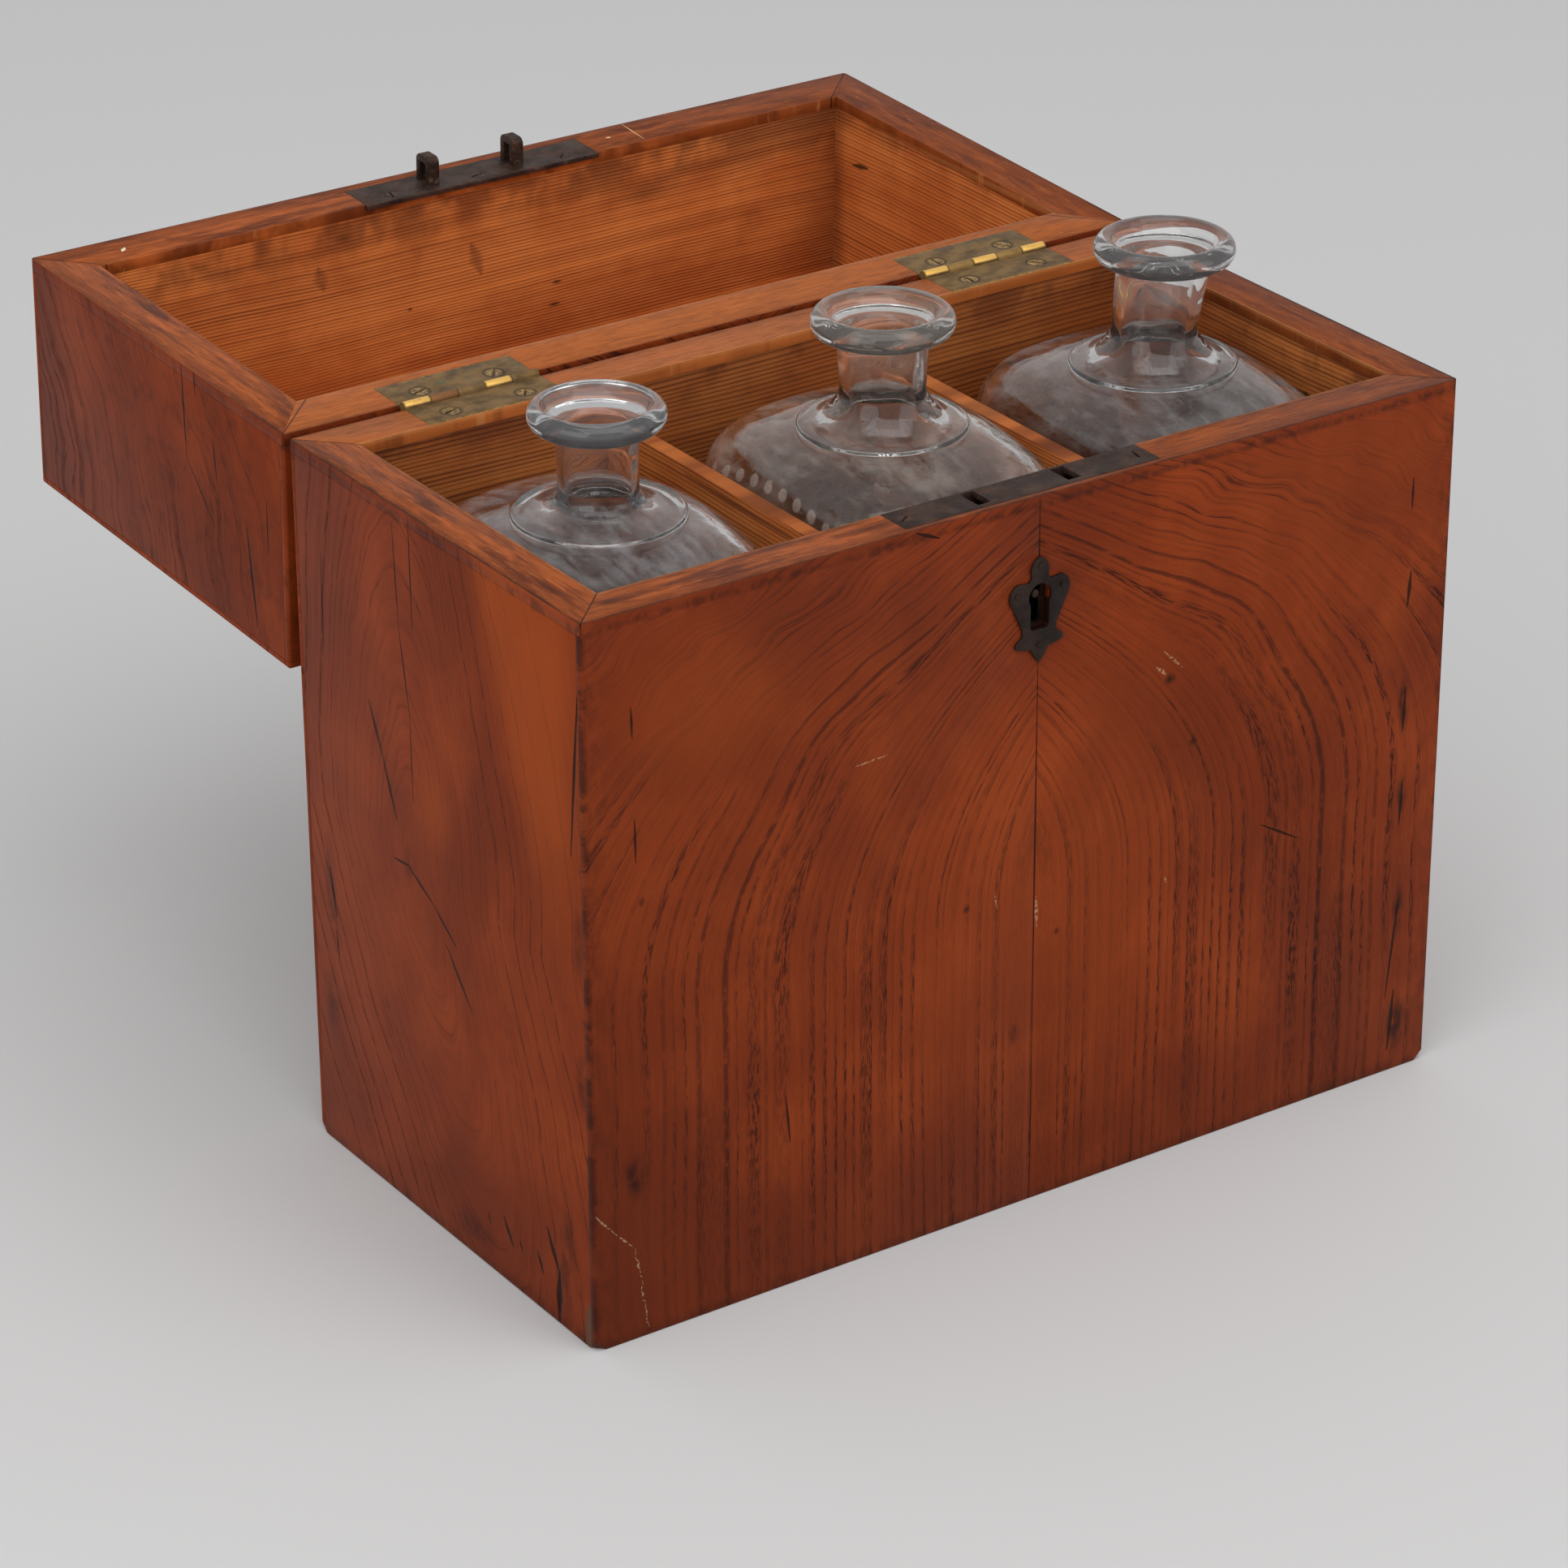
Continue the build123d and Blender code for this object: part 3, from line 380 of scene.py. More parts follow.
def lidLeftMarks(x, y, z):
    cracks = [((154, 251), (153.4, 216), 0.55), ((153.4, 216), (136.5, 198), 0.4),
              ((115, 205), (111, 172), 0.85), ((135, 229), (133.6, 215), 0.5),
              ((145.6, 249), (145.3, 240), 0.45), ((101, 219), (101.5, 200), 0.4)]
    crackMask = strokes(y, z, cracks)
    blotch = noise(y * 0.14, z * 0.12, 24.0, 3.0, 0.6)
    far = rise(y, 232.0, 246.0)
    edgeDirt = cornerGrime(y, 257.0, 3.0, 21.0, y, z).atLeast(cornerGrime(z, 165.0, 2.5, 22.0, y, z))
    masks = [
        (far * 0.45, veneer["deep"]),
        (rise(blotch, 0.5, 0.7) * 0.3, veneer["edge"]),
        (edgeDirt * rise(blotch, 0.36, 0.6) * 0.6, veneer["edge"]),
        (crackMask * 0.9, veneer["dirt"]),
    ]
    return masks, crackMask * 1.5


def plainMarks(seed, low, high):
    # Worn and dirty outlines for the faces that the picture doesn't show
    def marks(x, y, z):
        blotch = noise(x * 0.12, y * 0.12, z * 0.12, 3.0, 0.6)
        bottomDirt = cornerGrime(z, low, 3.0, seed, x + y, z)
        topDirt = cornerGrime(z, high, 3.0, seed + 1.0, x + y, z)
        crack = stroke(x + y, z, (31, low + 2), (27, low + (high - low) * 0.3), 0.5)
        masks = [
            (rise(blotch, 0.5, 0.7) * 0.35, veneer["edge"]),
            (bottomDirt.atLeast(topDirt) * rise(blotch, 0.36, 0.6) * 0.6, veneer["edge"]),
            (crack * 0.85, veneer["dirt"]),
        ]
        return masks, crack * 1.2
    return marks


rim = {
    "light": tint("b9602c"), "middle": tint("954a1e"), "deep": tint("612b12"), "edge": tint("22100c"),
    "worn": tint("cf9158"), "rosy": tint("b4642f"),
    "looks": {"Roughness": 0.48, "Specular IOR Level": 0.1},
}


def dressRim(name, lengthwise, isLid, isBack, seed):
    # A mitred strip: grain along its length, a dark outer edge and a pale worn inner one
    finish = Finish(name, rim["looks"])
    x, y, z = finish.millimetres()
    depthPlace = case["hingeY"] * 2 - y if isLid else y
    run, across = (x, depthPlace) if lengthwise == "x" else (depthPlace, x)
    outer = case["halfDepth"] if lengthwise == "x" else case["halfWidth"]
    wall = {"x": 20.0 if isBack else case["lidWall"], "y": 16.5}[lengthwise] if isLid else case["wall"]
    inward = outer - abs(across)
    sway = (noise(run * 0.012, across * 0.05, seed) - 0.5) * 7.0
    lines = noise((across + sway) * 1.1, run * 0.02, z * 0.3 + seed, 4.0, 0.65)
    pores = rise(noise((across + sway) * 2.6, run * 0.1, seed, 2.0, 0.6), 0.54, 0.68)
    patches = noise(run * 0.024, across * 0.11, seed + 3.0, 3.0, 0.6)
    clouds = noise(run * 0.05, across * 0.3, seed + 6.0, 3.0, 0.6)
    colour = blend(rise(patches, 0.34, 0.6), rim["deep"], rim["middle"])
    colour = blend(rise(clouds, 0.42, 0.66) * 0.65, colour, rim["light"])
    if isBack:
        colour = blend(0.72, colour, rim["rosy"])
    colour = shade(colour, 0.5 + lines * 0.96)
    colour = blend(pores * 0.5, colour, rim["deep"])
    ragged = (noise(run * 0.09, across * 0.12, seed + 8.0, 4.0, 0.65) - 0.5)
    nearTop = fall(abs(z - case["rimZ"]), 0.5, 1.5)
    flank = fall(inward, 0.05, 0.3) * (1.0 - nearTop)
    darkEdge = fall(inward + ragged * 3.4, 0.1, 1.5) * nearTop
    grime = fall(inward + ragged * 9.0, 1.0, 8.0) * (0.2 if isBack else 0.5)
    pale = rise(inward + ragged * 1.6, wall - 1.3, wall - 0.3) * nearTop
    scuffs = rise(noise(run * 0.14, across * 1.1, seed + 11.0, 3.0, 0.7), 0.6, 0.72)
    offMitre = (case["halfWidth"] - abs(x)) / wall - (case["halfDepth"] - abs(depthPlace)) / wall
    mitre = fall(abs(offMitre), 0.008, 0.03)
    masks = [
        (grime, rim["deep"]),
        (rise(x, 0.0, 140.0) * (0.15 if isBack else 0.45), rim["deep"]),
        (scuffs * 0.35, rim["worn"]),
        (flank * 0.85, veneer["middle"]),
        (darkEdge * (0.4 if isBack else 0.7), rim["edge"]),
        (pale * patches * 0.4, rim["worn"]),
        (mitre * 0.7, rim["edge"]),
    ]
    if isLid and lengthwise == "x" and not isBack:
        masks.append((stroke(x, y, (-136.5, 246.5), (-134.2, 249), 0.8), tint("e8d6b8")))
        masks.append((stroke(x, y, (68.5, 257), (67.5, 240.5), 0.35), tint("c99c70")))
        masks.append((spot(x, y, (57.5, 248.4), (1.2, 0.8), 0.5), tint("d8b58c")))
    if not isLid and lengthwise == "x" and not isBack:
        gap = rise(abs(x), 47.0, 48.5)
        line = fall(abs(y + 81.6), 0.2, 1.1) * (1.0 - gap)
        masks.append((line * 0.8, rim["edge"]))
        masks.append((spot(x, y, (-149, -76), (6, 3), 0.8) * 0.6, rim["edge"]))
    if not isLid and lengthwise == "y" and not isBack:
        masks.append((spot(x, y, (-158, -60), (3, 14), 0.9) * 0.35, rim["edge"]))
    colour = wear(colour, masks)
    roughness = 0.38 + clouds * 0.16
    height = lines * 0.3 - pores * 0.4 - mitre * 0.6
    return finish.finish(colour, roughness, height, 0.00025)


pine = {
    "light": tint("db813f"), "middle": tint("c1672d"), "deep": tint("8a431d"), "line": tint("6e3114"),
    # stainAndShade serves for real stains and for painted shade inside the box and the lid
    "stainAndShade": tint("4f2410"), "knot": tint("38200f"),
    "looks": {"Roughness": 0.7, "Specular IOR Level": 0.2},
}


def dressPine(name, board, seed, linePitch, toneAndShade, marks=None):
    # Softwood: fine even lines along the board, with stains and small knots; toneAndShade darkens the whole
    # board, painted shade for the boards down inside the base and the dividers, on top of the pine's own tone
    finish = Finish(name, pine["looks"])
    x, y, z = finish.millimetres()
    run, across, level = board(x, y, z)
    sway = (noise(run * 0.006, across * 0.02, seed) - 0.5) * 7.0
    wobble = (noise(run * 0.05, across * 0.1, seed + 2.0) - 0.5) * 0.5
    count = (across + sway + wobble) / linePitch + noise(across * 0.05, seed, 0.0, 1.0) * 3.0
    ring = count.fraction()
    line = rise(ring, 0.25, 0.85) * fall(ring, 0.86, 1.0)
    weight = noise(count.floor() * 0.61, seed + 4.0, run * 0.004, 1.0)
    fibres = noise(across * 3.0, run * 0.03, seed + 5.0, 4.0, 0.65)
    dashes = rise(noise(across * 1.6, run * 0.09, seed + 7.0, 2.0, 0.6), 0.6, 0.7)
    patches = noise(run * 0.02, across * 0.03, seed + 1.0, 3.0, 0.6)
    rubbed = noise(run * 0.05, across * 0.04, seed + 8.0, 3.0, 0.6)
    colour = blend(rise(patches, 0.34, 0.66), pine["middle"], pine["light"])
    crowd = rise(noise(across * 0.14, seed + 12.0, run * 0.002, 2.0), 0.4, 0.62)
    depth = 0.16 + rise(weight, 0.4, 0.6) * 0.5 + crowd * 0.22
    colour = blend(line * depth, colour, pine["line"])
    colour = blend(crowd * 0.22, colour, pine["deep"])
    colour = blend(dashes * 0.3, colour, pine["deep"])
    colour = shade(colour, (0.76 + fibres * 0.42) * toneAndShade)
    masks = [(rise(rubbed, 0.58, 0.78) * 0.35, pine["deep"])]
    if marks:
        masks += marks(x, y, z, rubbed)
    colour = wear(colour, masks)
    roughness = 0.62 + fibres * 0.2
    height = line * -0.35 + fibres * 0.25
    return finish.finish(colour, roughness, height, 0.0003)


def lidFrontMarks(x, y, z, rubbed):
    # The far wall in the open lid: stained under the rim, with knots; painted shade along its foot by the
    # lid's floor and towards its right inner corner
    under = rise(z, 225.0, 246.0) * rise(rubbed + rise(x, 0.0, 120.0) * 0.12, 0.4, 0.62)
    below = rise(z, 246.5, 250.0) * 0.5
    # painted shade: a dark band where the wall meets the lid's floor, and darker towards the right inner
    # corner
    foot = fall(z, 178.5, 181.5)
    corner = rise(x, 118.0, 150.0)
    return [
        (under * 0.6, pine["stainAndShade"]),
        (below, pine["deep"]),
        (foot * 0.7, pine["stainAndShade"]),
        (corner * 0.35, pine["stainAndShade"]),
        (spot(x, z, (30, 206), (3.0, 1.0), 0.8) * 0.85, pine["knot"]),
        (spot(x, z, (29, 197.8), (3.6, 1.0), 0.8) * 0.85, pine["knot"]),
        (stroke(x, z, (-66, 232), (-64, 224), 2.6, 0.8) * 0.45, pine["stainAndShade"]),
        (stroke(x, z, (-5, 228), (-1, 216), 2.4, 0.8) * 0.45, pine["stainAndShade"]),
        (spot(x, z, (-56, 241), (5, 2.6), 0.9) * 0.5, pine["stainAndShade"]),
        (spot(x, z, (68, 232), (16, 6), 0.95) * 0.45, pine["stainAndShade"]),
        (spot(x, z, (-30, 209), (1.4, 0.9), 0.8) * 0.8, pine["knot"]),
    ]


def lidRightMarks(x, y, z, rubbed):
    return [
        (stroke(y, z, (228.5, 228.5), (219, 230), 1.1, 0.6) * 0.9, pine["knot"]),
        # painted shade: darker towards the corner with the far wall and along the foot by the lid's floor
        (rise(y, 231.0, 239.0) * 0.45, pine["stainAndShade"]),
        (fall(z, 178.0, 184.0) * 0.4, pine["stainAndShade"]),
        (rise(z, 238.0, 246.0) * rise(rubbed, 0.42, 0.6) * 0.4, pine["stainAndShade"]),
    ]


def baseInnerMarks(x, y, z, rubbed):
    top = rise(z, 224.0, 243.0)
    # painted shade: the inner walls grow darker lower down inside the box
    low = fall(z, 40.0, 220.0)
    return [
        (top * rise(rubbed, 0.44, 0.6) * 0.55, pine["stainAndShade"]),
        (low * 0.4, pine["stainAndShade"]),
        (rise(z, 240.0, 242.5) * 0.4, pine["stainAndShade"]),
        (spot(x + y, z, (-60, 228), (2.2, 1.2), 0.8) * 0.8, pine["knot"]),
        (spot(x + y, z, (120, 226), (2.4, 1.4), 0.8) * 0.8, pine["knot"]),
    ]


def keyholeMarks(x, y, z, rubbed):
    # Blackened wood round the keyhole
    sooty = spot(x, z, (0, 207), (10, 13), 0.3) * 0.92
    return baseInnerMarks(x, y, z, rubbed) + [(sooty, veneer["dirt"])]


def dividerMarks(x, y, z, rubbed):
    topFace = rise(z, 228.2, 228.9)
    return [
        (topFace * rise(rubbed, 0.4, 0.6) * 0.5, pine["stainAndShade"]),
        # painted shade: the divider darker lower down in the box
        (fall(z, 60.0, 220.0) * 0.35, pine["stainAndShade"]),
        (stroke(y, z, (30, 226.2), (-34, 225.2), 0.55) * fall(x, -20.0, 0.0) * 0.8, pine["stainAndShade"]),
    ]


hinge = {"left": -123.0, "right": 78.0, "pitch": 10.0, "screwReach": 13.75, "screwRow": (75.5, 94.6),
         "screwRadius": 3.3}
brass = {
    "patina": tint("85683f"), "dark": tint("5a452b"), "bright": tint("eab95f"), "red": tint("8a5632"),
    "green": tint("3f6a4c"), "grime": tint("2b2116"),
    "looks": {"Roughness": 0.42, "Metallic": 0.4, "Specular IOR Level": 0.25},
}


def dressHinge(name, side, isLid, rubbedAndLitKnuckles, redKnuckles, seed):
    # Old brass: dull and olive on the leaves; bright brass on the tops of some knuckles is painted highlight
    # on rubbed metal, with a faint painted highlight on every knuckle
    finish = Finish(name, brass["looks"])
    x, y, z = finish.millimetres()
    cloud = noise(x * 0.14, y * 0.2, z * 0.2 + seed, 4.0, 0.62)
    speck = noise(x * 0.9, y * 0.9, z * 0.9 + seed, 3.0, 0.7)
    knuckle = fall(abs(y - case["hingeY"]), 1.5, 2.1)
    upper = rise(z, 246.2, 247.0)
    start, pitch = hinge[side], hinge["pitch"]

    def span(index):
        return between(x, start + pitch * index, start + pitch * (index + 1))

    colour = blend(rise(cloud, 0.28, 0.66), brass["dark"], brass["patina"])
    colour = shade(colour, 0.84 + speck * 0.32)
    rubbed = knuckle * 0.15
    # painted highlight: bright brass on the top of the chosen knuckles, broken by noise, partly rubbed metal
    if rubbedAndLitKnuckles:
        bright = union([span(index) for index in rubbedAndLitKnuckles])
        rubbed = bright * knuckle * upper * rise(cloud + speck * 0.4, 0.3, 0.62)
    for index in redKnuckles:
        colour = blend(span(index) * knuckle * 0.7, colour, brass["red"])
    edge = fall(abs(abs(y - case["hingeY"]) - 17.4), 0.1, 0.7) * rise(speck, 0.42, 0.6)
    colour = blend((rubbed + edge * 0.35).atMost(1.0), colour, brass["bright"])
    for sign in (-1, 1):
        # Grime round each countersunk head
        away = distance(x - (start + pitch * 2.5 + sign * hinge["screwReach"]), y - hinge["screwRow"][isLid])
        grime = fall(abs(away - hinge["screwRadius"]), 0.2, 0.9)
        colour = blend(grime * 0.6, colour, brass["grime"])
    if isLid:
        green = spots(x, y, [((-102.5, 97), (3.2, 2.4)), ((-74, 95), (2.2, 2.8))], 0.9)
        colour = blend(green * rise(speck, 0.4, 0.6) * 0.7, colour, brass["green"])
    roughness = 0.5 - rubbed * 0.24 + speck * 0.1
    return finish.finish(colour, roughness, cloud * 0.3 + speck * 0.15, 0.0002)


def dressScrew(name):
    # Screw heads: dark in the slot and at the rim, bright where the driver slipped
    finish = Finish(name, brass["looks"])
    x, y, z = finish.millimetres()
    cloud = noise(x * 0.5, y * 0.5, z * 0.5, 3.0, 0.6)
    speck = noise(x * 1.4, y * 1.4, z * 1.4, 3.0, 0.7)
    colour = blend(rise(cloud, 0.4, 0.6), brass["dark"], brass["patina"])
    colour = blend(rise(speck, 0.5, 0.62) * 0.6, colour, brass["bright"])
    colour = blend(fall(z, 245.5, 245.95) * 0.85, colour, brass["grime"])
    return finish.finish(colour, 0.46 - speck * 0.2, speck, 0.0002)


iron = {
    "face": tint("46322a"), "black": tint("2a1c17"), "rust": tint("5c3927"), "bare": tint("85705f"),
    "looks": {"Roughness": 0.52, "Metallic": 0.25, "Specular IOR Level": 0.2},
}


def dressIron(name, seed, bareness=0.35, rustiness=0.4, depth=0.0004, level=1.0):
    # Blackened iron with brown rust, rubbed bare in places
    finish = Finish(name, iron["looks"])
    x, y, z = finish.millimetres()
    cloud = noise(x * 0.1, y * 0.1, z * 0.1 + seed, 4.0, 0.6)
    rust = noise(x * 0.25, y * 0.25, z * 0.25 + seed + 4.0, 4.0, 0.7)
    pits = noise(x * 1.3, y * 1.3, z * 1.3 + seed, 3.0, 0.7)
    scuffs = noise(x * 0.3, y * 2.4, z * 0.5 + seed, 3.0, 0.6)
    colour = blend(rise(cloud, 0.36, 0.64), iron["black"], iron["face"])
    colour = blend(rise(rust, 0.5, 0.7) * rustiness, colour, iron["rust"])
    colour = blend(rise(scuffs, 0.56, 0.72) * bareness, colour, iron["bare"])
    colour = shade(colour, (0.7 + pits * 0.6) * level)
    roughness = 0.4 + rust * 0.25
    return finish.finish(colour, roughness, pits * 0.5 + rust * 0.5, depth)


glass = {
    "dotPitch": 7.9, "dotStart": 0.14, "dotRadius": 2.3, "dotBend": 0.0042,
    "looks": {"Base Color": (0.985, 0.984, 0.978, 1.0), "Roughness": 0.0, "IOR": 1.5,
              "Transmission Weight": 1.0},
}


def dressGlass(name, own, filmColour, seed):
    # Clear blown glass: slightly wavy, with a dusty film and ground dots along one shoulder
    finish = Finish(name, glass["looks"])
    x, y, z = finish.millimetres()
    wave = noise(x * 0.035, y * 0.035, z * 0.05 + seed, 2.0, 0.5)
    fine = noise(x * 0.2, y * 0.2, z * 0.12 + seed, 2.0, 0.5)
    dust = rise(noise(x * 1.1, y * 1.1, z * 1.1 + seed, 2.0, 0.7), 0.68, 0.75)
    haze = noise(x * 0.05, y * 0.05, z * 0.05 + seed, 3.0, 0.6)
    wipes = noise(x * 0.25, y * 0.06, z * 0.25 + seed, 3.0, 0.65)
    film = rise(haze * 0.5 + wipes * 0.5, 0.42, 0.66) * (1.0 - rise(z, 236.0, 250.0) * 0.9) * 0.16
    film = film + dust * 0.07 + 0.008 + rise(z, 252.0, 268.0) * 0.06
    if own["dotTop"]:
        offY = y - own["y"]
        level = own["dotTop"] - offY * offY * glass["dotBend"]
        step = (y / glass["dotPitch"] + glass["dotStart"]).fraction() - 0.5
        away = distance(step * glass["dotPitch"], z - level)
        dots = fall(away, glass["dotRadius"] - 0.5, glass["dotRadius"])
        dots = dots * fall(abs(offY), 34.0, 36.0) * fall(x, own["dotEnd"], own["dotEnd"] + 3.0)
        film = (film + dots * 0.22).atMost(0.5)
    dusty = finish.node("ShaderNodeBsdfPrincipled", None, {"Base Color": filmColour, "Roughness": 0.75})
    clear = Wire(finish, finish.shader.outputs[0])
    coated = finish.node("ShaderNodeMixShader", None, {0: film, 1: clear, 2: dusty})
    finish.tree.links.new(coated.socket, finish.tree.nodes["Material Output"].inputs["Surface"])
    return finish.finish(None, None, wave + fine * 0.08, 0.0009)


# Merging and depth are in metres and millimetres, angles in degrees
edges = {"merge": 0.000004, "flatAngle": 0.6, "sharpAngle": 30.0, "smoothAngle": 38.0, "glassAngle": 50.0,
         "rubDepth": 2.2, "jointNear": 0.05, "lidTilt": 0.03492, "lidPivotY": 86.69}


def only(piece):
    bpy.ops.object.select_all(action="DESELECT")
    piece.select_set(True)
    bpy.context.view_layer.objects.active = piece


def rubCorner(corner, depth):
    # Takes the point off a corner of the piece that is being edited
    facing = Vector((math.copysign(1, corner[0]), math.copysign(1, corner[1]), -1)).normalized()
    bpy.ops.mesh.select_all(action="SELECT")
    place = Vector(corner) * 0.001 - facing * depth * 0.001
    bpy.ops.mesh.bisect(plane_co=place, plane_no=facing, clear_outer=True, use_fill=True)


def jointHeight(node, point):
    # Height above the base, or the same measured in the lid, which stands open at 178 degrees
    y, z = point.y * 1000.0, point.z * 1000.0
    return z - edges["lidTilt"] * (y - edges["lidPivotY"]) if bodyOf[node] == "lid" else z


def handIn(piece, node):
    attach(piece, bodyOf[node])
    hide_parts(node)
    return piece


def soften(node, width, segments=2, rubbed=(), joint=None):
    # A copy of the solid's mesh, made whole and given worn edges; the edges at a joint stay tight
    piece = bpy.data.objects.new(node + "_worn", nodes[node].data.copy())
    bpy.context.scene.collection.objects.link(piece)
    only(piece)
    bpy.ops.object.mode_set(mode="EDIT")
    bpy.ops.mesh.select_mode(type="EDGE")
    bpy.ops.mesh.select_all(action="SELECT")
    bpy.ops.mesh.remove_doubles(threshold=edges["merge"])
    bpy.ops.mesh.dissolve_limited(angle_limit=math.radians(edges["flatAngle"]))
    for corner in rubbed:
        rubCorner(corner, edges["rubDepth"])
    bpy.ops.mesh.select_all(action="DESELECT")
    bpy.ops.mesh.edges_select_sharp(sharpness=math.radians(edges["sharpAngle"]))
    bpy.ops.object.mode_set(mode="OBJECT")
    for edge in piece.data.edges:
        heights = [jointHeight(node, piece.data.vertices[i].co) for i in edge.vertices]
        if joint is not None and max(abs(height - joint) for height in heights) < edges["jointNear"]:
            edge.select = False
    bpy.ops.object.mode_set(mode="EDIT")
    bpy.ops.mesh.bevel(offset=width * 0.001, segments=segments, affect="EDGES", clamp_overlap=True)
    bpy.ops.object.mode_set(mode="OBJECT")
    bpy.ops.object.shade_smooth_by_angle(angle=math.radians(edges["smoothAngle"]))
    return handIn(piece, node)


bottleForm = {
    "columns": 128, "corner": 28.0, "wall": 3.5, "shoulderBall": 135.0, "shoulderRound": 23.0,
    "ringRadius": 26.5, "ringBead": 0.8, "ringStep": 28.4, "bore": 10.5, "mouth": 17.5,
    "lipHeight": 8.0, "lipRound": 3.6, "foot": 10.0, "footRound": 3.0, "kickRadius": 34.0, "kickHeight": 4.0,
    "floor": 6.0, "innerRing": 19.5,
}
bottleSizes = ("x", "y", "ring", "flare", "neck", "neckBase", "neckTop", "lip", "lean", "dotEnd", "dotTop")
bottleOf = {
    "bottle_left": (-102.433, 4.0, 235.5, 5.0, 22.5, 12.6, 12.9, 21.6, 0.0, None, None),
    "bottle_middle": (1.0, 0.0, 242.0, 11.0, 18.5, 13.6, 14.8, 23.0, 0.0, -40.0, 228.2),
    "bottle_right": (104.333, -5.0, 241.0, 11.0, 22.0, 13.8, 15.3, 23.0, 3.5, 63.5, 234.8),
}
bottleOf = {node: dict(zip(bottleSizes, sizes)) for node, sizes in bottleOf.items()}


def curveThrough(first, pull, last, count):
    # Points of a bend that leaves first towards pull and comes to last
    points = []
    for t in (step / count for step in range(1, count + 1)):
        ends = zip(first, pull, last)
        points.append(tuple((1 - t) ** 2 * a + 2 * t * (1 - t) * b + t * t * c for a, b, c in ends))
    return points


class GlassBody:
    # The body's outline: a rounded rectangle under a ball-shaped shoulder, with a softened edge
    def __init__(self, halfX, halfY, ring, inset):
        form = bottleForm
        self.halfX, self.halfY, self.ring = halfX - inset, halfY - inset, ring
        self.corner = form["corner"] - inset
        self.ball = form["shoulderBall"] - inset
        self.soft = form["shoulderRound"] - inset
        ballHeight = math.sqrt(form["shoulderBall"] ** 2 - form["ringRadius"] ** 2)
        self.centre = ring - form["ringBead"] - ballHeight
        self.start = ring - 60.0

    def side(self, x, y):
        # How far outside the upright wall, and the way that wall faces
        overX, overY = abs(x) - (self.halfX - self.corner), abs(y) - (self.halfY - self.corner)
        if overX > 0 and overY > 0:
            reach = math.hypot(overX, overY)
            return reach - self.corner, (overX / reach, overY / reach)
        if overX > overY:
            return overX - self.corner, (1.0, 0.0)
        return overY - self.corner, (0.0, 1.0)

    def outside(self, x, y, z):
        away, facing = self.side(x, y)
        reach = math.sqrt(x * x + y * y + (z - self.centre) ** 2)
        above = reach - self.ball
        lean = (abs(x) * facing[0] + abs(y) * facing[1]) / reach
        a, b = away + self.soft, above + self.soft
        if a <= lean * b:
            return above
        if b <= lean * a:
            return away
        return math.sqrt((a * a + b * b - 2 * a * b * lean) / (1 - lean * lean)) - self.soft

    def reach(self, test, far):
        # The distance at which a test turns from inside to outside
        near = 0.0
        for turn in range(26):
            middle = (near + far) / 2
            near, far = (middle, far) if test(middle) < 0 else (near, middle)
        return near

    def wall(self, angle, shrink=0.0):
        c, s = math.cos(angle), math.sin(angle)
        return self.reach(lambda t: self.side(c * t, s * t)[0] + shrink, 90.0)

    def shoulder(self, angle, share, ringRadius):
        # A point on the shoulder: share 0 is on the wall, 1 at the ring
        c, s = math.cos(angle), math.sin(angle)
        high = self.reach(lambda t: self.outside(c * ringRadius, s * ringRadius, self.start + t), 80.0)
        climb = math.atan2(high, ringRadius) * share
        level, lift = math.cos(climb), math.sin(climb)
        t = self.reach(lambda t: self.outside(c * level * t, s * level * t, self.start + lift * t), 110.0)
        return level * t, self.start + lift * t


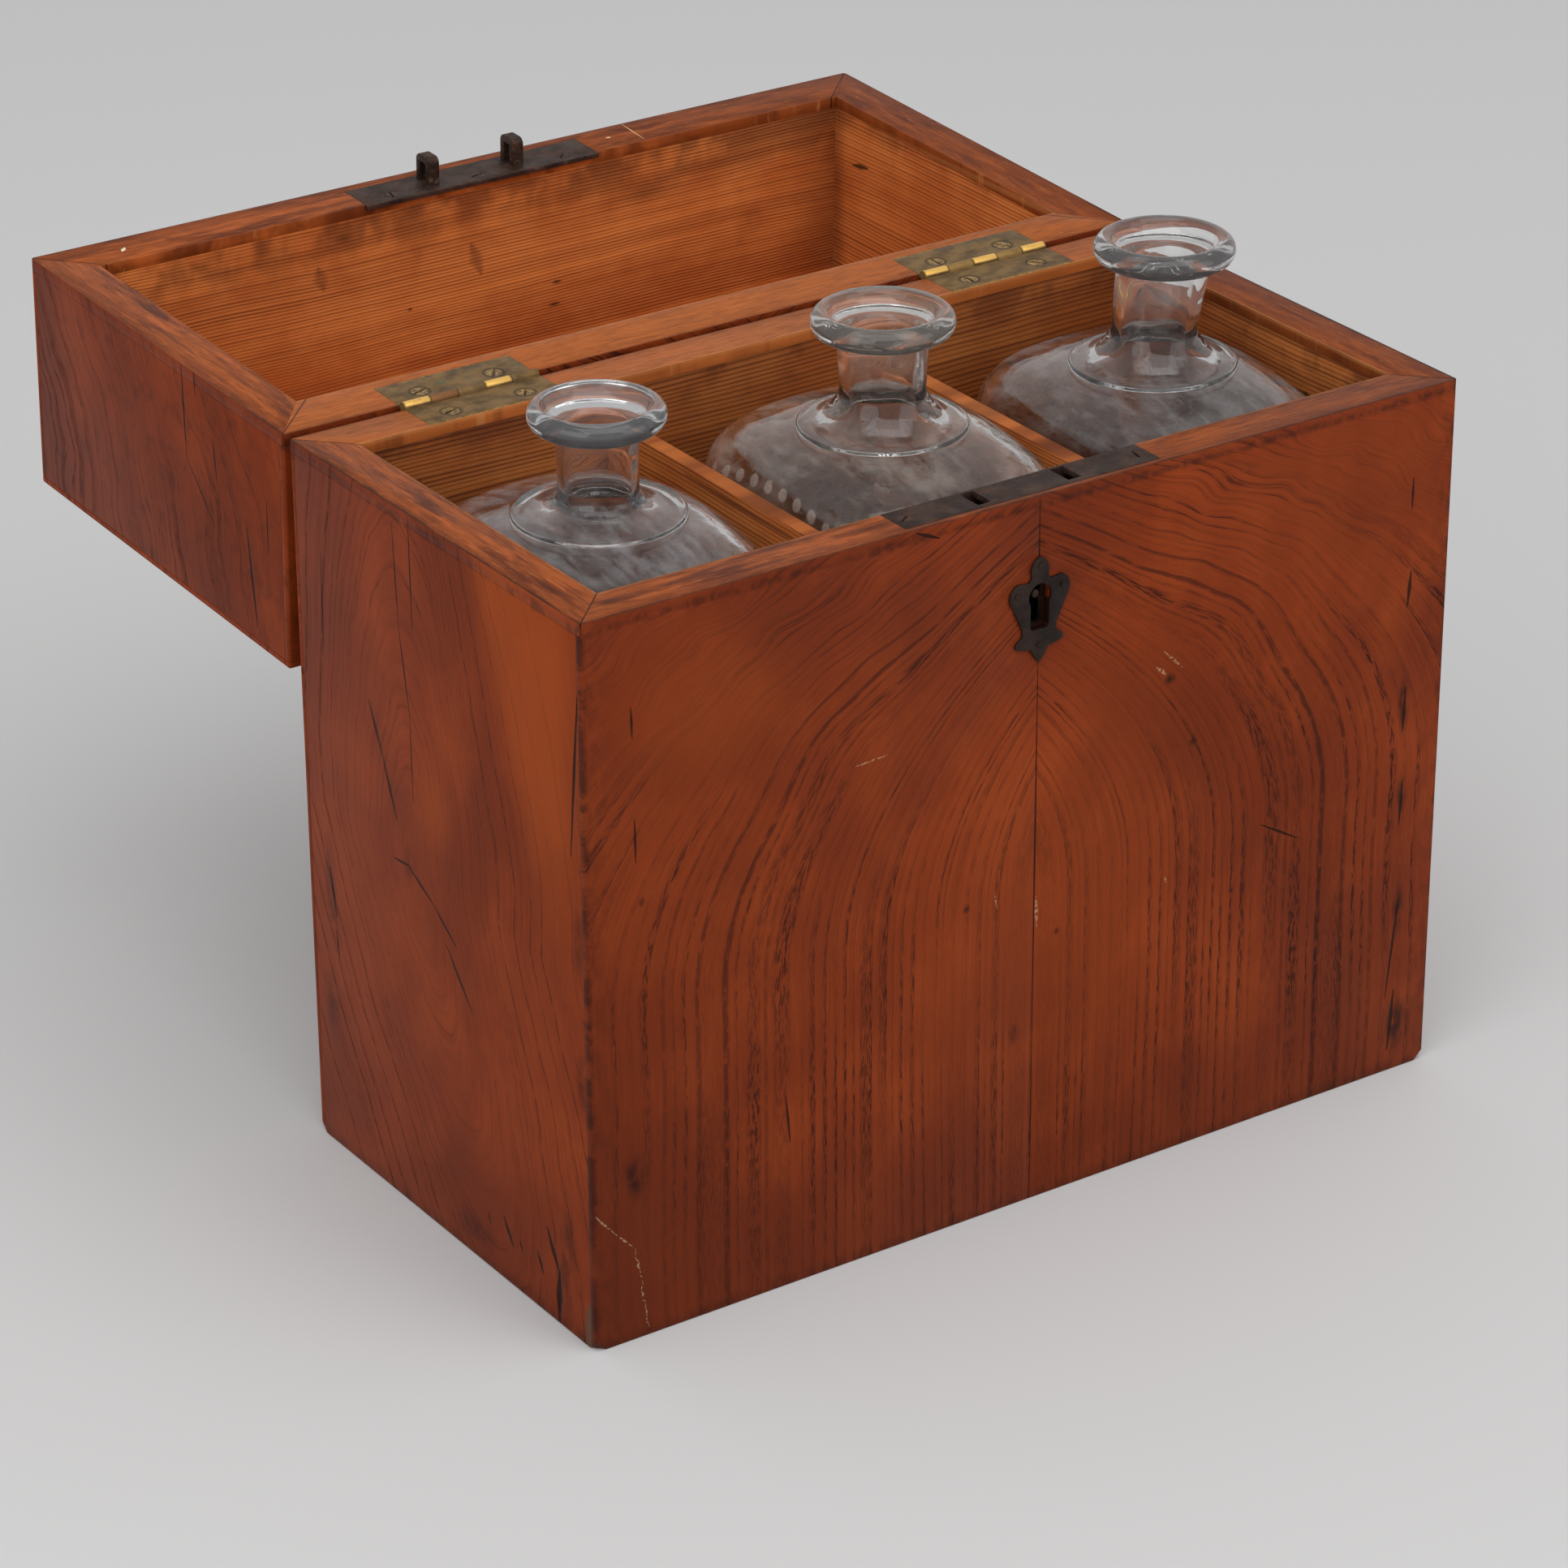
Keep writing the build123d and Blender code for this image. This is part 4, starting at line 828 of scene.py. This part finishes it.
def glassRows(node, halfX, halfY):
    # Each row gives a column's distance from the axis, its height and its share of the neck's lean
    form, own = bottleForm, bottleOf[node]
    ring, neckFoot = own["ring"], own["ring"] + own["flare"]
    lipFoot = neckFoot + own["neck"]
    top = lipFoot + form["lipHeight"]
    outer, inner = GlassBody(halfX, halfY, ring, 0.0), GlassBody(halfX, halfY, ring, form["wall"])
    dome = (form["kickRadius"] ** 2 + form["kickHeight"] ** 2) / (form["kickHeight"] * 2)
    rows = []

    def level(points, lean=0.0):
        for radius, z in points:
            rows.append(lambda angle, radius=radius, z=z, lean=lean: (radius, z, lean))

    def walled(body, points):
        for shrink, z in points:
            rows.append(lambda angle, shrink=shrink, z=z: (body.wall(angle, shrink), z, 0.0))

    def domed(growth):
        base = form["foot"] + form["kickHeight"] - dome
        flat = form["foot"] + growth
        edge = math.sqrt((dome + growth) ** 2 - (flat - base) ** 2)
        radii = [0.0, edge * 0.35, edge * 0.7, edge]
        return [(radius, base + math.sqrt((dome + growth) ** 2 - radius ** 2)) for radius in radii]

    def rounded(size, z):
        turns = [math.radians(step * 18.0) for step in range(6)]
        return [(size * (1 - math.sin(turn)), z + size * (1 - math.cos(turn))) for turn in turns]

    footRound, halfLip, lean = form["footRound"], form["lipHeight"] / 2, own["lean"]
    level(domed(0.0))
    walled(outer, rounded(footRound, form["foot"]))
    walled(outer, [(0.0, z) for z in (40.0, 90.0, 140.0)])
    for step in range(35):
        rows.append(lambda angle, share=step / 34: outer.shoulder(angle, share, form["ringStep"]) + (0.0,))
    edge = form["ringRadius"] + form["ringBead"]
    level([(edge + 0.35, ring - 1.05), (edge, ring - 0.8), (edge - 0.2, ring - 0.35),
           (edge - 0.55, ring - 0.08), (edge - 1.1, ring), (edge - 1.7, ring + 0.02)])
    flareFoot, neckBase = edge - 1.7, own["neckBase"]
    pull = (neckBase + (flareFoot - neckBase) * 0.28, ring + own["flare"] * 0.1)
    level(curveThrough((flareFoot, ring + 0.02), pull, (neckBase, neckFoot), 12))
    for share in (0.2, 0.4, 0.6, 0.8, 0.95):
        radius = neckBase + (own["neckTop"] - neckBase) * share
        level([(radius, neckFoot + own["neck"] * share)], lean * share)
    arc = own["lip"] - form["lipRound"]
    bulge = (form["lipRound"] ** 2 + halfLip ** 2) / (form["lipRound"] * 2)
    swing = math.asin(halfLip / bulge)
    level([(own["neckTop"] + 0.4, lipFoot - 0.35), (own["neckTop"] + 1.4, lipFoot)], lean)
    turns = [swing * (step / 8 - 1) for step in range(17)]
    axis, middle = own["lip"] - bulge, lipFoot + halfLip
    level([(axis + bulge * math.cos(t), middle + bulge * math.sin(t)) for t in turns], lean)
    level([(form["mouth"] + (arc - form["mouth"]) * 0.4, top - 0.03), (form["mouth"], top - 0.3)], lean)
    funnelTop, funnelFoot = (form["mouth"] - 0.25, top - 0.9), (form["bore"] + 0.5, top - 6.7)
    level(curveThrough(funnelTop, (16.24, top - 4.06), funnelFoot, 8), lean)
    level([(form["bore"] + 0.1, top - 7.3), (form["bore"], lipFoot)], lean)
    for share in (0.75, 0.5, 0.25, 0.0):
        level([(form["bore"], neckFoot + own["neck"] * share)], lean * share)
    boreFoot, innerRing = neckFoot - form["wall"], form["innerRing"]
    innerTop = inner.shoulder(0.8, 1.0, innerRing)[1]
    pull = (form["bore"] + (innerRing - form["bore"]) * 0.25, innerTop + (boreFoot - innerTop) * 0.12)
    level(curveThrough((form["bore"], boreFoot), pull, (innerRing + 0.6, innerTop - 0.25), 9)[:-1])
    for step in range(31):
        rows.append(lambda angle, share=1 - step / 30: inner.shoulder(angle, share, innerRing + 1.2) + (0.0,))
    walled(inner, [(0.0, z) for z in (140.0, 90.0, 40.0)])
    walled(inner, rounded(footRound, form["foot"] + form["floor"])[::-1])
    level(domed(form["floor"])[::-1])
    return rows


def blowGlass(node):
    # A sheet is rolled up: its columns go round the bottle, its rows up the outside and down the inside
    low, high = (Vector(corner) * 1000.0 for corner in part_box(node))
    centreX, centreY = bottleOf[node]["x"], (low.y + high.y) / 2
    halfX, halfY = min(high.x - centreX, centreX - low.x), (high.y - low.y) / 2
    rows = glassRows(node, halfX, halfY)
    columns = bottleForm["columns"]
    bpy.ops.object.select_all(action="DESELECT")
    bpy.ops.mesh.primitive_grid_add(x_subdivisions=columns, y_subdivisions=len(rows) - 1, size=1.0,
                                    location=(0, 0, 0))
    piece = bpy.context.object
    piece.name = node + "_blown"
    for point in piece.data.vertices:
        column = round((point.co.x + 0.5) * columns) % columns
        row = round((point.co.y + 0.5) * (len(rows) - 1))
        angle = column / columns * math.tau
        radius, z, lean = rows[row](angle)
        place = Vector((centreX + lean + radius * math.cos(angle), centreY + radius * math.sin(angle), z))
        point.co = place * 0.001
    bpy.ops.object.mode_set(mode="EDIT")
    bpy.ops.mesh.select_all(action="SELECT")
    bpy.ops.mesh.remove_doubles(threshold=0.000005)
    bpy.ops.mesh.normals_make_consistent(inside=False)
    bpy.ops.object.mode_set(mode="OBJECT")
    bpy.ops.object.shade_smooth_by_angle(angle=math.radians(edges["glassAngle"]))
    print(node, len(piece.data.polygons), "faces")
    return handIn(piece, node)


def cover(piece, material):
    piece.data.materials.clear()
    piece.data.materials.append(material)


print("wood, metal and glass finishes")
frontLines = [(95.0, 0.8, 0.5), (103.0, 1.3, 0.85), (108.6, 1.0, 0.75), (115.8, 0.9, 0.6)]
leftLines = [(37.0, 0.5, 0.4), (46.0, 0.6, 0.5), (53.0, 1.0, 0.7), (62.5, 0.9, 0.75), (72.0, 0.7, 0.7),
             (79.0, 0.9, 0.8), (86.0, 0.5, 0.6), (96.0, 0.8, 0.6)]
veneerRows = {
    "base_front": ("frontVeneer", archFigure, lambda x, y, z: (x, z), 2.0, frontMarks, 4.2, 1.0, frontLines),
    "base_left": ("leftVeneer", swirlFigure, lambda x, y, z: (19.5 - y, z - 126.0), 5.0, leftMarks, 3.2, 0.42,
                  leftLines),
    "base_right": ("rightVeneer", swirlFigure, lambda x, y, z: (y + 14.0, z - 112.0), 7.5,
                   plainMarks(31.0, 0.0, 243.0), 2.9, 0.6, leftLines),
    "base_back": ("backVeneer", archFigure, lambda x, y, z: (x - 12.0, z * 0.8 + 10.0), 12.0,
                  plainMarks(35.0, 0.0, 243.0)),
    "lid_left": ("lidLeftVeneer", bentFigure, lambda x, y, z: (178.0 - y, z - 246.0), 9.0, lidLeftMarks,
                 7.0, 0.8),
    "lid_right": ("lidRightVeneer", bentFigure, lambda x, y, z: (y - 172.0, z - 246.0), 10.5,
                  plainMarks(41.0, 165.0, 243.0), 8.5),
    "lid_front": ("lidFrontVeneer", archFigure, lambda x, y, z: (x, 492.0 - z), 2.0,
                  plainMarks(43.0, 165.0, 248.0)),
    "lid_back": ("lidBackVeneer", archFigure, lambda x, y, z: (x - 12.0, (492.0 - z) * 0.8 + 10.0), 12.0,
                 plainMarks(45.0, 165.0, 243.0)),
    "lid_top": ("lidTopVeneer", archFigure, lambda x, y, z: (y - 173.0, x * 0.5 + 60.0), 15.0,
                plainMarks(47.0, 120.0, 200.0), 6.0, 0.9),
}
veneerOf = {side: dressVeneer(*row) for side, row in veneerRows.items()}
footCorners = [(x * case["halfWidth"], y * case["halfDepth"], 0.0) for x in (-1, 1) for y in (-1, 1)]
for node in nodes:
    if "_veneer" in node:
        rubbed = footCorners if node.startswith("base") else ()
        cover(soften(node, 0.35, rubbed=rubbed, joint=case["jointZ"]), veneerOf[node.split("_veneer")[0]])

print("rims")


def facesOut(node, face):
    # The outer flank of a rim strip, which carries on the veneer below it
    half, side = node.split("_")[0], node.split("_")[2]
    x, y = face.center.x * 1000.0, face.center.y * 1000.0
    if side in ("left", "right"):
        return abs(face.normal.x) > 0.8 and abs(x) > case["halfWidth"] - 0.2
    if half == "base":
        return abs(face.normal.y) > 0.8 and abs(y) > case["halfDepth"] - 0.2
    return abs(face.normal.y) > 0.8 and (y > 256.8 if side == "front" else y < 89.0)


for half in ("base", "lid"):
    for index, (side, lengthwise) in enumerate((("front", "x"), ("right", "y"), ("back", "x"), ("left", "y"))):
        node = half + "_rim_" + side
        piece = soften(node, 0.45, joint=case["jointZ"])
        seed = 3.0 + index * 4.0 + (half == "lid") * 20.0
        cover(piece, dressRim(node + "Wood", lengthwise, half == "lid", side == "back", seed))
        piece.data.materials.append(veneerOf[half + "_" + side])
        for face in piece.data.polygons:
            face.material_index = 1 if facesOut(node, face) else 0

print("boards and dividers")


def alongX(x, y, z):
    return x, z, y


def alongY(x, y, z):
    return y, z, x


def flat(x, y, z):
    return x, y, z


# The number before the marks darkens the whole board: painted shade for the boards down inside the base and
# the dividers
pineRows = {
    "lid_front_board": ("lidFrontPine", alongX, 3.0, 1.25, 1.0, lidFrontMarks),
    "lid_back_board": ("lidBackPine", alongX, 6.0, 1.6, 0.95),
    "lid_left_board": ("lidLeftPine", alongY, 8.0, 2.2, 0.95),
    "lid_right_board": ("lidRightPine", alongY, 11.0, 1.5, 0.95, lidRightMarks),
    "lid_top_board": ("lidTopPine", flat, 13.0, 2.4, 0.9),
    "base_front_board": ("baseFrontPine", alongX, 15.0, 1.7, 0.58, keyholeMarks),
    "base_back_board": ("baseBackPine", alongX, 17.0, 1.7, 0.6, baseInnerMarks),
    "base_left_board": ("baseLeftPine", alongY, 19.0, 1.7, 0.66, baseInnerMarks),
    "base_right_board": ("baseRightPine", alongY, 21.0, 1.7, 0.76, baseInnerMarks),
    "base_bottom_board": ("baseBottomPine", flat, 23.0, 3.2, 0.6),
    "divider_left": ("dividerPineLeft", alongY, 25.0, 1.5, 0.84, dividerMarks),
    "divider_right": ("dividerPineRight", alongY, 27.0, 1.4, 0.92, dividerMarks),
}
for node, row in pineRows.items():
    piece = soften(node, 0.5) if node.startswith("divider") else nodes[node]
    cover(piece, dressPine(*row))

print("hinges, lock and screws")
# Per leaf: the knuckles with painted highlight on rubbed brass, then the reddish knuckles
hingeOf = {
    "hinge_leaf_base_left": ((0,), ()), "hinge_leaf_lid_left": ((3,), (1,)),
    "hinge_leaf_base_right": ((), ()), "hinge_leaf_lid_right": ((0, 2, 4), ()),
}
for seed, (node, (rubbedAndLitKnuckles, redKnuckles)) in enumerate(hingeOf.items()):
    side, isLid = node.split("_")[3], "_lid_" in node
    material = dressHinge(node + "Brass", side, isLid, rubbedAndLitKnuckles, redKnuckles, 2.0 + seed * 3.0)
    cover(soften(node, 0.12), material)
hingePinBrass = dressHinge("hingePinBrass", "left", False, (), (), 31.0)
screwBrass = dressScrew("screwBrass")
for pin, screws in (("hinge_pin_left", "hinge_screws_base"), ("hinge_pin_right", "hinge_screws_lid")):
    cover(nodes[pin], hingePinBrass)
    cover(soften(screws, 0.06, 1), screwBrass)

plateIron = dressIron("plateIron", 3.0)
stapleIron = dressIron("stapleIron", 7.0, 0.5, 0.55, 0.0006)
escutcheonIron = dressIron("escutcheonIron", 11.0, 0.05, 0.15, level=0.45)
lockIron = dressIron("lockIron", 13.0, 0.25, 0.4)
steel = dressIron("lockSteel", 17.0, 0.75, 0.3)
screwIron = dressIron("screwIron", 19.0, 0.4, 0.5)
ironOf = {
    "staple_plate": (plateIron, 0.2), "staples": (stapleIron, 0.35), "escutcheon": (escutcheonIron, 0.18),
    "lock_plate": (lockIron, 0.15), "lock_cap": (lockIron, 0), "lock_bolt": (steel, 0.15),
    "lock_spring": (steel, 0), "lock_studs": (steel, 0), "lock_drill_pin": (steel, 0.2),
    "selvedge_screws": (screwIron, 0.06), "staple_plate_screws": (screwIron, 0.06),
    "escutcheon_pins": (escutcheonIron, 0.08),
}
for node, (material, width) in ironOf.items():
    cover(soften(node, width) if width else nodes[node], material)

print("bottles")
filmOf = {"bottle_left": (0.7, 0.71, 0.74, 1.0), "bottle_middle": (0.78, 0.68, 0.6, 1.0),
          "bottle_right": (0.6, 0.58, 0.58, 1.0)}
for seed, (node, own) in enumerate(bottleOf.items()):
    cover(blowGlass(node), dressGlass(node + "Glass", own, filmOf[node], 4.0 + seed * 7.0))

print("floor, light and camera")
stage = {"floorSize": 9.0, "floorGrey": 0.63, "worldLight": 0.62, "worldSeen": 0.45}
lensOf = {"sensor": 36.0, "length": 128.234, "clip": (0.05, 50.0), "place": (-0.9366, -1.3306, 0.9149),
          "heading": -34.058, "pitch": 63.811, "roll": -0.288}


def makeFloor():
    bpy.ops.object.select_all(action="DESELECT")
    bpy.ops.mesh.primitive_plane_add(size=stage["floorSize"], location=(0, 0, 0))
    floor = bpy.context.object
    floor.name = "floor"
    floor.data.transform(Matrix.Translation((0, 0, -0.0002)))
    finish = Finish("floorPaper", {"Roughness": 0.9, "Specular IOR Level": 0.1})
    grey = stage["floorGrey"]
    finish.shader.inputs["Base Color"].default_value = (grey, grey, grey, 1)
    floor.data.materials.append(finish.material)


def makeWorld():
    world = bpy.data.worlds.new("studio")
    bpy.context.scene.world = world
    world.use_nodes = True
    tree = world.node_tree
    background = tree.nodes["Background"]
    path = tree.nodes.new("ShaderNodeLightPath")
    seen = tree.nodes.new("ShaderNodeMath")
    seen.operation = "MAXIMUM"
    tree.links.new(path.outputs["Is Camera Ray"], seen.inputs[0])
    tree.links.new(path.outputs["Is Transmission Ray"], seen.inputs[1])
    level = tree.nodes.new("ShaderNodeMapRange")
    level.inputs[3].default_value = stage["worldLight"]
    level.inputs[4].default_value = stage["worldSeen"]
    tree.links.new(seen.outputs[0], level.inputs[0])
    tree.links.new(level.outputs[0], background.inputs["Strength"])
    background.inputs["Color"].default_value = (1, 1, 1, 1)


def softbox(name, place, target, size, power):
    lamp = bpy.data.lights.new(name, "AREA")
    lamp.shape = "RECTANGLE"
    lamp.size, lamp.size_y = size
    lamp.energy = power
    holder = bpy.data.objects.new(name, lamp)
    holder.location = place
    holder.rotation_euler = (Vector(target) - Vector(place)).to_track_quat("-Z", "Y").to_euler()
    bpy.context.scene.collection.objects.link(holder)


def makeCamera():
    lens = bpy.data.cameras.new("camera")
    lens.sensor_width = lensOf["sensor"]
    lens.lens = lensOf["length"]
    lens.clip_start, lens.clip_end = lensOf["clip"]
    camera = bpy.data.objects.new("camera", lens)
    placed = Matrix.Translation(lensOf["place"])
    for angle, axis in (("heading", "Z"), ("pitch", "X"), ("roll", "Z")):
        placed = placed @ Matrix.Rotation(math.radians(lensOf[angle]), 4, axis)
    camera.matrix_world = placed
    bpy.context.scene.collection.objects.link(camera)
    bpy.context.scene.camera = camera


makeFloor()
makeWorld()
softbox("keyBox", (-0.3, -1.0, 2.4), (0, 0, 0.1), (2.6, 2.2), 25.0)
softbox("leftBox", (-2.3, -0.9, 1.3), (0, 0, 0.15), (2.0, 1.8), 15.0)
softbox("rightBox", (1.3, -2.3, 1.4), (0, 0, 0.15), (2.0, 1.8), 12.0)
makeCamera()
bpy.context.scene.view_settings.view_transform = "Standard"
